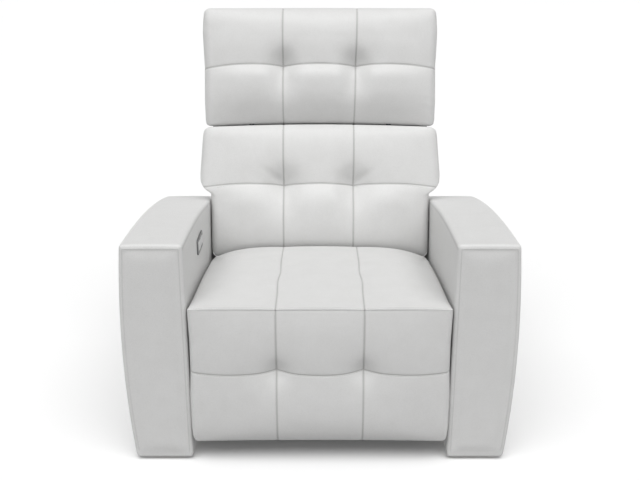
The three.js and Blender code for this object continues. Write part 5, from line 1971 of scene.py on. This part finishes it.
@dataclass(frozen=True)
class JointShadeStrip:
    """A black strip of painted shade that closes the view into the joint under the headrest, so the crease
    there stays dark.
    """

    half: float = 326 * MM
    columns: int = 40
    bow: float = 4 * MM
    bow_half: float = 350 * MM
    bow_from: float = 352 * MM
    bow_to: float = 364 * MM
    section: Sequence[Point2] = in_mm(
        (351.6, 31.4), (358, 31.4), (369, 31.6), (369.5, 32.4), (369, 33.3), (358, 33.4), (351.6, 33.4),
    )

    def build(self) -> bpy.types.Object:
        """The strip as a closed mesh.

        Returns:
            The strip.
        """
        x = np.linspace(-self.half, self.half, self.columns)
        bow = self.bow * (1 - 2 * (x / self.bow_half) ** 2)
        blocks = [
            place_back(x, s + bow * smooth(s, self.bow_from, self.bow_to), np.full(len(x), t))
            for s, t in self.section
        ]
        count, last = self.columns, len(self.section) - 1
        faces = grid_faces(last + 1, count)
        faces += [(last * count + c, last * count + c + 1, c + 1, c) for c in range(count - 1)]
        faces.append(tuple(r * count for r in range(last + 1)))
        faces.append(tuple(r * count + count - 1 for r in range(last, -1, -1)))
        # Black, as painted shade for the crease between headrest and back.
        made = add_mesh("joint_black_cloth", np.vstack(blocks), faces, Finish.PLASTIC)
        outwards(made)
        return made


# Stitches and rivets


class Recipe:
    """A Geometry Nodes group that is built node by node."""

    def __init__(self, name: str) -> None:
        """Makes the group with a mesh going in and a mesh coming out.

        Args:
            name: Its name.
        """
        self.group = bpy.data.node_groups.new(name, "GeometryNodeTree")
        self.group.interface.new_socket("Geometry", in_out="INPUT", socket_type="NodeSocketGeometry")
        self.group.interface.new_socket("Geometry", in_out="OUTPUT", socket_type="NodeSocketGeometry")
        self.source = self.group.nodes.new("NodeGroupInput")
        self.result = self.group.nodes.new("NodeGroupOutput")
        self.identifiers: dict[str, str] = {}

    def number(self, name: str) -> bpy.types.NodeSocket:
        """Adds a named number that the modifier sets.

        Args:
            name: Its name.

        Returns:
            Its socket.
        """
        socket = self.group.interface.new_socket(name, in_out="INPUT", socket_type="NodeSocketFloat")
        self.identifiers[name] = socket.identifier
        return next(s for s in self.source.outputs if s.identifier == socket.identifier)

    def node(self, kind: str, settings: dict[str, Any], inputs: dict[str, Any]) -> bpy.types.Node:
        """Adds a node, sets its properties and feeds its sockets.

        Args:
            kind: The node's type.
            settings: Its properties.
            inputs: Values or sockets by name.

        Returns:
            The node.
        """
        made = self.group.nodes.new(kind)
        for key, value in settings.items():
            setattr(made, key, value)
        for key, value in inputs.items():
            socket = next(s for s in made.inputs if s.name == key and s.enabled)
            if isinstance(value, bpy.types.NodeSocket):
                self.group.links.new(value, socket)
            else:
                socket.default_value = value
        return made

    def vector(self, name: str) -> bpy.types.NodeSocket:
        """A vector that the points carry."""
        made = self.node("GeometryNodeInputNamedAttribute", {"data_type": "FLOAT_VECTOR"}, {"Name": name})
        return made.outputs["Attribute"]

    def run(self, points: bpy.types.Object, values: dict[str, float]) -> bpy.types.Object:
        """Sets the named numbers, keeps the resulting mesh and drops the modifier.

        Args:
            points: The object with the points.
            values: The numbers by name.

        Returns:
            The same object, now the mesh.
        """
        made = points.modifiers.new("repeat", "NODES")
        made.node_group = self.group
        for name, value in values.items():
            made[self.identifiers[name]] = value
        return apply_modifiers(points)


class Shape(Enum):
    """What is set at each point, with the segments and rings of its ball."""

    STITCH = (8, 6)
    RIVET = (18, 10)


@dataclass(frozen=True)
class Repeat:
    """Sets one small shape at many points, its long side along each point's own direction."""

    shape: Shape
    length: float
    width: float
    finish: Finish

    def build(self, name: str, points: Sequence[Any], along: Sequence[Any],
              out: Sequence[Any]) -> bpy.types.Object:
        """Makes the mesh of all the shapes.

        Args:
            name: The piece's name.
            points: Where they stand.
            along: The long side's direction at each.
            out: The direction away from the surface at each.

        Returns:
            The piece.
        """
        mesh = bpy.data.meshes.new(name)
        mesh.from_pydata([tuple(p) for p in points], [], [])
        for key, values in (("along", along), ("out", out)):
            layer = mesh.attributes.new(key, "FLOAT_VECTOR", "POINT")
            layer.data.foreach_set("vector", np.array([tuple(v) for v in values], np.float32).ravel())
        thing = linked(name, mesh)
        recipe = Recipe(name + "_recipe")
        length, width = recipe.number("Length"), recipe.number("Width")
        segments, rings = self.shape.value
        ball = {"Segments": segments, "Rings": rings, "Radius": 0.5}
        body = recipe.node("GeometryNodeMeshUVSphere", {}, ball)
        size = recipe.node("ShaderNodeCombineXYZ", {}, {"X": width, "Y": width, "Z": length})
        lean = recipe.node("FunctionNodeAlignRotationToVector", {"axis": "Z"},
                           {"Vector": recipe.vector("along")})
        turn = recipe.node("FunctionNodeAlignRotationToVector", {"axis": "X", "pivot_axis": "Z"},
                           {"Rotation": lean.outputs[0], "Vector": recipe.vector("out")})
        placed = recipe.node("GeometryNodeInstanceOnPoints", {}, {
            "Points": recipe.source.outputs[0], "Instance": body.outputs[0],
            "Rotation": turn.outputs[0], "Scale": size.outputs[0],
        })
        real = recipe.node("GeometryNodeRealizeInstances", {}, {"Geometry": placed.outputs[0]})
        smooth_node = recipe.node("GeometryNodeSetShadeSmooth", {}, {"Geometry": real.outputs[0]})
        paint = recipe.node("GeometryNodeSetMaterial", {}, {
            "Geometry": smooth_node.outputs[0], "Material": self.finish.material(),
        })
        recipe.group.links.new(paint.outputs[0], recipe.result.inputs[0])
        return recipe.run(thing, {"Length": self.length, "Width": self.width})


# Studio


@dataclass(frozen=True)
class Studio:
    """Floor, light and camera of the picture."""

    camera_ahead: float = 1989 * MM
    camera_height: float = 1315.8 * MM
    camera_pitch: float = math.radians(19.29)
    lens: float = 48.88
    floor_size: float = 190.0
    sky: float = 0.33
    haze: float = 1.4
    ground: float = 0.30
    horizon: tuple[float, ...] = (0.482, 0.487, 0.56, 0.62)
    key_power: float = 1.26
    key_softness: float = math.radians(45)
    key_tilt: float = math.radians(29)
    key_turn: float = math.radians(35)

    def build(self) -> None:
        """Makes the stage."""
        scene = bpy.context.scene
        self._add_camera(scene)
        self._add_world(scene)
        reach = self.floor_size / 2
        mesh = bpy.data.meshes.new("floor")
        corners = [(-reach, -reach, 0), (reach, -reach, 0), (reach, reach, 0), (-reach, reach, 0)]
        mesh.from_pydata(corners, [], [(0, 1, 2, 3)])
        floor = linked("floor", mesh)
        floor.data.materials.append(Finish.FLOOR.material())
        floor.visible_diffuse = False
        for name, turn in (("key_left", -self.key_turn), ("key_right", self.key_turn)):
            key = bpy.data.lights.new(name, "SUN")
            key.energy = self.key_power
            key.angle = self.key_softness
            linked(name, key).rotation_euler = (self.key_tilt, 0.0, turn)
        scene.view_settings.view_transform = "Standard"

    def _add_camera(self, scene: bpy.types.Scene) -> None:
        """Puts the camera at the photo's place.

        Args:
            scene: The scene.
        """
        camera = linked("camera", bpy.data.cameras.new("camera"))
        camera.data.lens = self.lens
        camera.data.sensor_width = 36.0
        camera.location = (0.0, FRONT_Y - self.camera_ahead, self.camera_height)
        camera.rotation_euler = (math.pi / 2 - self.camera_pitch, 0.0, 0.0)
        scene.camera = camera

    def _add_world(self, scene: bpy.types.Scene) -> None:
        """Lights the studio from all round, with a white haze along the horizon behind the floor.

        Args:
            scene: The scene.
        """
        world = bpy.data.worlds.new("studio")
        world.use_nodes = True
        tree = world.node_tree
        place = tree.nodes.new("ShaderNodeTexCoord")
        split = tree.nodes.new("ShaderNodeSeparateXYZ")
        share = tree.nodes.new("ShaderNodeMapRange")
        ramp = tree.nodes.new("ShaderNodeValToRGB")
        share.inputs["From Min"].default_value = -1.0
        values = (self.ground, self.haze, self.haze, self.sky)
        set_stops(ramp.color_ramp, tuple(zip(self.horizon, values)))
        tree.links.new(place.outputs["Generated"], split.inputs[0])
        tree.links.new(split.outputs["Z"], share.inputs["Value"])
        tree.links.new(share.outputs[0], ramp.inputs[0])
        tree.links.new(ramp.outputs[0], tree.nodes["Background"].inputs["Color"])
        scene.world = world


@dataclass(frozen=True)
class Mechanism:
    """The steel frames, links, drives and switch, with the bevel and its steps on each finish."""

    edges: Sequence[tuple[Finish, float, int]] = (
        (Finish.STEEL, 1.2 * MM, 2),
        (Finish.ZINC, 0.6 * MM, 2),
        (Finish.PLASTIC, 1.0 * MM, 2),
        (Finish.NICKEL, 0.5 * MM, 3),
        (Finish.SILVER, 0.5 * MM, 3),
    )

    def build(self) -> None:
        """Finishes every hard piece."""
        for finish, bevel, segments in self.edges:
            for node in BODY_OF:
                if finish_of(node) is finish:
                    HardPiece(node, finish, bevel, segments).build()


class SeamStitches:
    """Topstitching beside the seams, laid on the finished covers."""

    pitch: float = 6.2 * MM
    length: float = 4.4 * MM
    width: float = 0.75 * MM

    def __init__(self, cover: bpy.types.Object) -> None:
        """Keeps the finished cover and a search tree of its surface.

        Args:
            cover: The finished cover.
        """
        graph = bpy.context.evaluated_depsgraph_get()
        self.cover = cover
        self.tree = BVHTree.FromObject(cover, graph)
        self.points: list[Vector] = []
        self.along: list[Vector] = []
        self.out: list[Vector] = []

    def line(self, path: np.ndarray, toward: Point3) -> None:
        """Lays stitches along a line.

        Args:
            path: Places outside the cover, one per row.
            toward: The direction from there to the cover.
        """
        length = float(np.linalg.norm(np.diff(path, axis=0), axis=1).sum())
        count = max(int(length / self.pitch), 2)
        spots = resample(path, (np.arange(count) + 0.5) / count)
        ahead = resample(path, np.minimum((np.arange(count) + 0.8) / count, 1.0))
        ray = Vector(toward).normalized()
        for here, there in zip(spots, ahead):
            hit, normal, _, _ = self.tree.ray_cast(Vector(here), ray)
            further, _, _, _ = self.tree.ray_cast(Vector(there), ray)
            if hit is None or further is None or (further - hit).length < 1e-6:
                continue
            self.points.append(hit + normal * self.width * 0.12)
            self.along.append((further - hit).normalized())
            self.out.append(normal)

    def build(self, name: str, body: str) -> None:
        """Makes the stitches one piece on a body.

        Args:
            name: The piece's name.
            body: The body.
        """
        thread = Repeat(Shape.STITCH, self.length, self.width, Finish.THREAD)
        piece = thread.build(name, self.points, self.along, self.out)
        finish_piece(piece, body, "cover_leather")


class PivotRivets:
    """Rivet heads over the ends of the pivot pins, found where each hinge line leaves the plates."""

    width: float = 15 * MM
    height: float = 4.4 * MM
    start: float = 600 * MM
    least: float = 20 * MM
    skipped: tuple[str, ...] = ("headrest_tilt",)

    def build(self) -> None:
        """Sets a flat domed head at both ends of every pin, one piece for each body."""
        heads: dict[str, list[tuple[Vector, Vector]]] = {}
        for joint in frame["joints"]:
            if joint["type"] != "hinge" or joint["name"] in self.skipped:
                continue
            place = Vector(joint["pos_m"])
            for sign in (-1.0, 1.0):
                found = self._outermost(place, sign, (joint["parent"], joint["child"]))
                if found is not None:
                    heads.setdefault(found[0], []).append((found[1], Vector((sign, 0.0, 0.0))))
        for body, rows in heads.items():
            dome = Repeat(Shape.RIVET, self.height, self.width, Finish.ZINC)
            points, along = [p for p, _ in rows], [d for _, d in rows]
            piece = dome.build(f"{body}_rivet_heads", points, along, [Vector((0.0, 0.0, 1.0))] * len(rows))
            finish_piece(piece, body, "link_steel")

    def _outermost(self, place: Vector, sign: float, bodies: tuple[str, str]) -> tuple[str, Vector] | None:
        """Where a line along X first meets the metal of two bodies from outside.

        Args:
            place: A point on the pin's line.
            sign: The side it comes from.
            bodies: The two bodies.

        Returns:
            The body and the place, or None.
        """
        best: tuple[str, Vector] | None = None
        for body in bodies:
            for name in BODIES[body]:
                node = NODES[name]
                if node.data.materials[0] not in (Finish.ZINC.material(), Finish.STEEL.material()):
                    continue
                start = Vector((sign * self.start, place.y, place.z))
                hit, _, _, _ = _node_tree(name).ray_cast(start, Vector((-sign, 0.0, 0.0)))
                if hit is None or hit.x * sign <= self.least:
                    continue
                if best is None or hit.x * sign > best[1].x * sign:
                    best = (body, hit)
        return best


@cache
def _node_tree(name: str) -> BVHTree:
    """Search tree of a CAD node's surface.

    Args:
        name: The node.

    Returns:
        The tree.
    """
    node = NODES[name]
    points = [node.matrix_world @ vertex.co for vertex in node.data.vertices]
    return BVHTree.FromPolygons(points, [tuple(face.vertices) for face in node.data.polygons])


NODE_FINISH: dict[Finish, tuple[str, ...]] = {
    Finish.WOOD: ("arm_frame",),
    Finish.SILVER: ("button",),
    Finish.NICKEL: ("switch_bezel",),
    Finish.WEBBING: ("webbing",),
    Finish.LEATHER: ("cushion", "arm_", "back_rear_panel", "headrest_rear_panel"),
    Finish.ZINC: ("link", "carriage", "headrest_rod"),
    Finish.PLASTIC: ("motor", "glide", "housing", "inlet", "control_box", "rear_base_panel"),
}


def finish_of(node: str) -> Finish:
    """The finish of a CAD node, from the first key that is in its name."""
    keys = ((key, finish) for finish, names in NODE_FINISH.items() for key in names)
    return next((finish for key, finish in keys if key in node), Finish.STEEL)


def paint_nodes() -> None:
    """Gives every CAD node the finish of its slot."""
    for name, node in NODES.items():
        node.data.materials.clear()
        node.data.materials.append(finish_of(name).material())
    LOG.info("painted %d nodes", len(NODES))


def sew_tufted(cover: bpy.types.Object, plan: TuftedPad, body: str, place: Placing) -> None:
    """Stitches both sides of a tufted pad's seams, along its channels and its row.

    Args:
        cover: The finished cushion.
        plan: The pad's sizes.
        body: The body that it rides on.
        place: Turns the pad's places into the frame's.
    """
    sewing = SeamStitches(cover)
    forward = place(np.array([[0.0, 0.0, 0.0], [0.0, 1.0, 0.0]]))
    toward = tuple(forward[1] - forward[0])
    ahead = -80 * MM
    up = np.linspace(plan.low + 14 * MM, plan.high - 12 * MM, 90)
    for side in (-1.0, 1.0):
        x = np.full(len(up), side * (CHANNEL_X + STITCH_OFF))
        x = x + plan.drifted(x, up)
        sewing.line(place(np.stack([x, np.full(len(up), ahead), up], axis=1)), toward)
    x = np.linspace(-plan.half + 16 * MM, plan.half - 16 * MM, 160)
    row = plan.seam_height(x) - STITCH_OFF
    sewing.line(place(np.stack([x, np.full(len(x), ahead), row], axis=1)), toward)
    sewing.build(f"{plan.name}_stitches", body)


def main() -> None:
    """Builds the whole seat in order."""
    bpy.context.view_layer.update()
    Studio().build()
    paint_nodes()
    for plan, body, node, place in (
        (HEADREST_PAD, "headrest", "headrest_cushion", LEAN.to_frame),
        (BACK_PAD, "back", "back_cushion", LEAN.to_frame),
        (FOOT_PAD, "footrest", "footrest_cushion", foot_place),
    ):
        cover = plan.build(place)
        sew_tufted(cover, plan, body, place)
        finish_piece(cover, body, "cover_leather", node)
    seat = SeatCushion()
    cover = seat.build()
    seat.stitch(cover)
    finish_piece(cover, "seat", "cover_leather", "seat_cushion")
    for side in ("left", "right"):
        covered = [f"arm_{part}_{side}" for part in ("top_band", "outer_panel", "inner_panel", "front_panel")]
        low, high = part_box(covered[0])
        sign = 1.0 if low.x + high.x > 0 else -1.0
        finish_piece(Arm(side, sign).build(), "base", "cover_leather", *covered)
    # The black strip of painted shade in the joint under the headrest.
    finish_piece(JointShadeStrip().build(), "back", "black_plastic")
    back_shell = RearShell("back_rear_leather", half=330 * MM, front=140.8 * MM, rear=213.5 * MM,
                           low=-60 * MM, high=352 * MM, closed_top=False)
    head_shell = RearShell("headrest_rear_leather", half=348 * MM, front=134 * MM, rear=190 * MM,
                           low=374 * MM, high=696 * MM, closed_top=True)
    finish_piece(back_shell.build(), "back", "cover_leather", "back_rear_panel")
    finish_piece(head_shell.build(), "headrest", "cover_leather", "headrest_rear_panel")
    low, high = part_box("seat_webbing")
    middle = (low.z + high.z) / 2
    seat_web = StrapWeb("seat_straps", high.x, low.y - FRONT_Y, high.y - FRONT_Y, middle, place_seat)
    finish_piece(seat_web.build(), "seat", "webbing", "seat_webbing")
    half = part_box("back_webbing")[1].x
    back_web = StrapWeb("back_straps", half, start=12 * MM, end=312 * MM, level=142.5 * MM, place=place_back)
    finish_piece(back_web.build(), "back", "webbing", "back_webbing")
    Mechanism().build()
    PivotRivets().build()


if __name__ == "__main__":
    main()
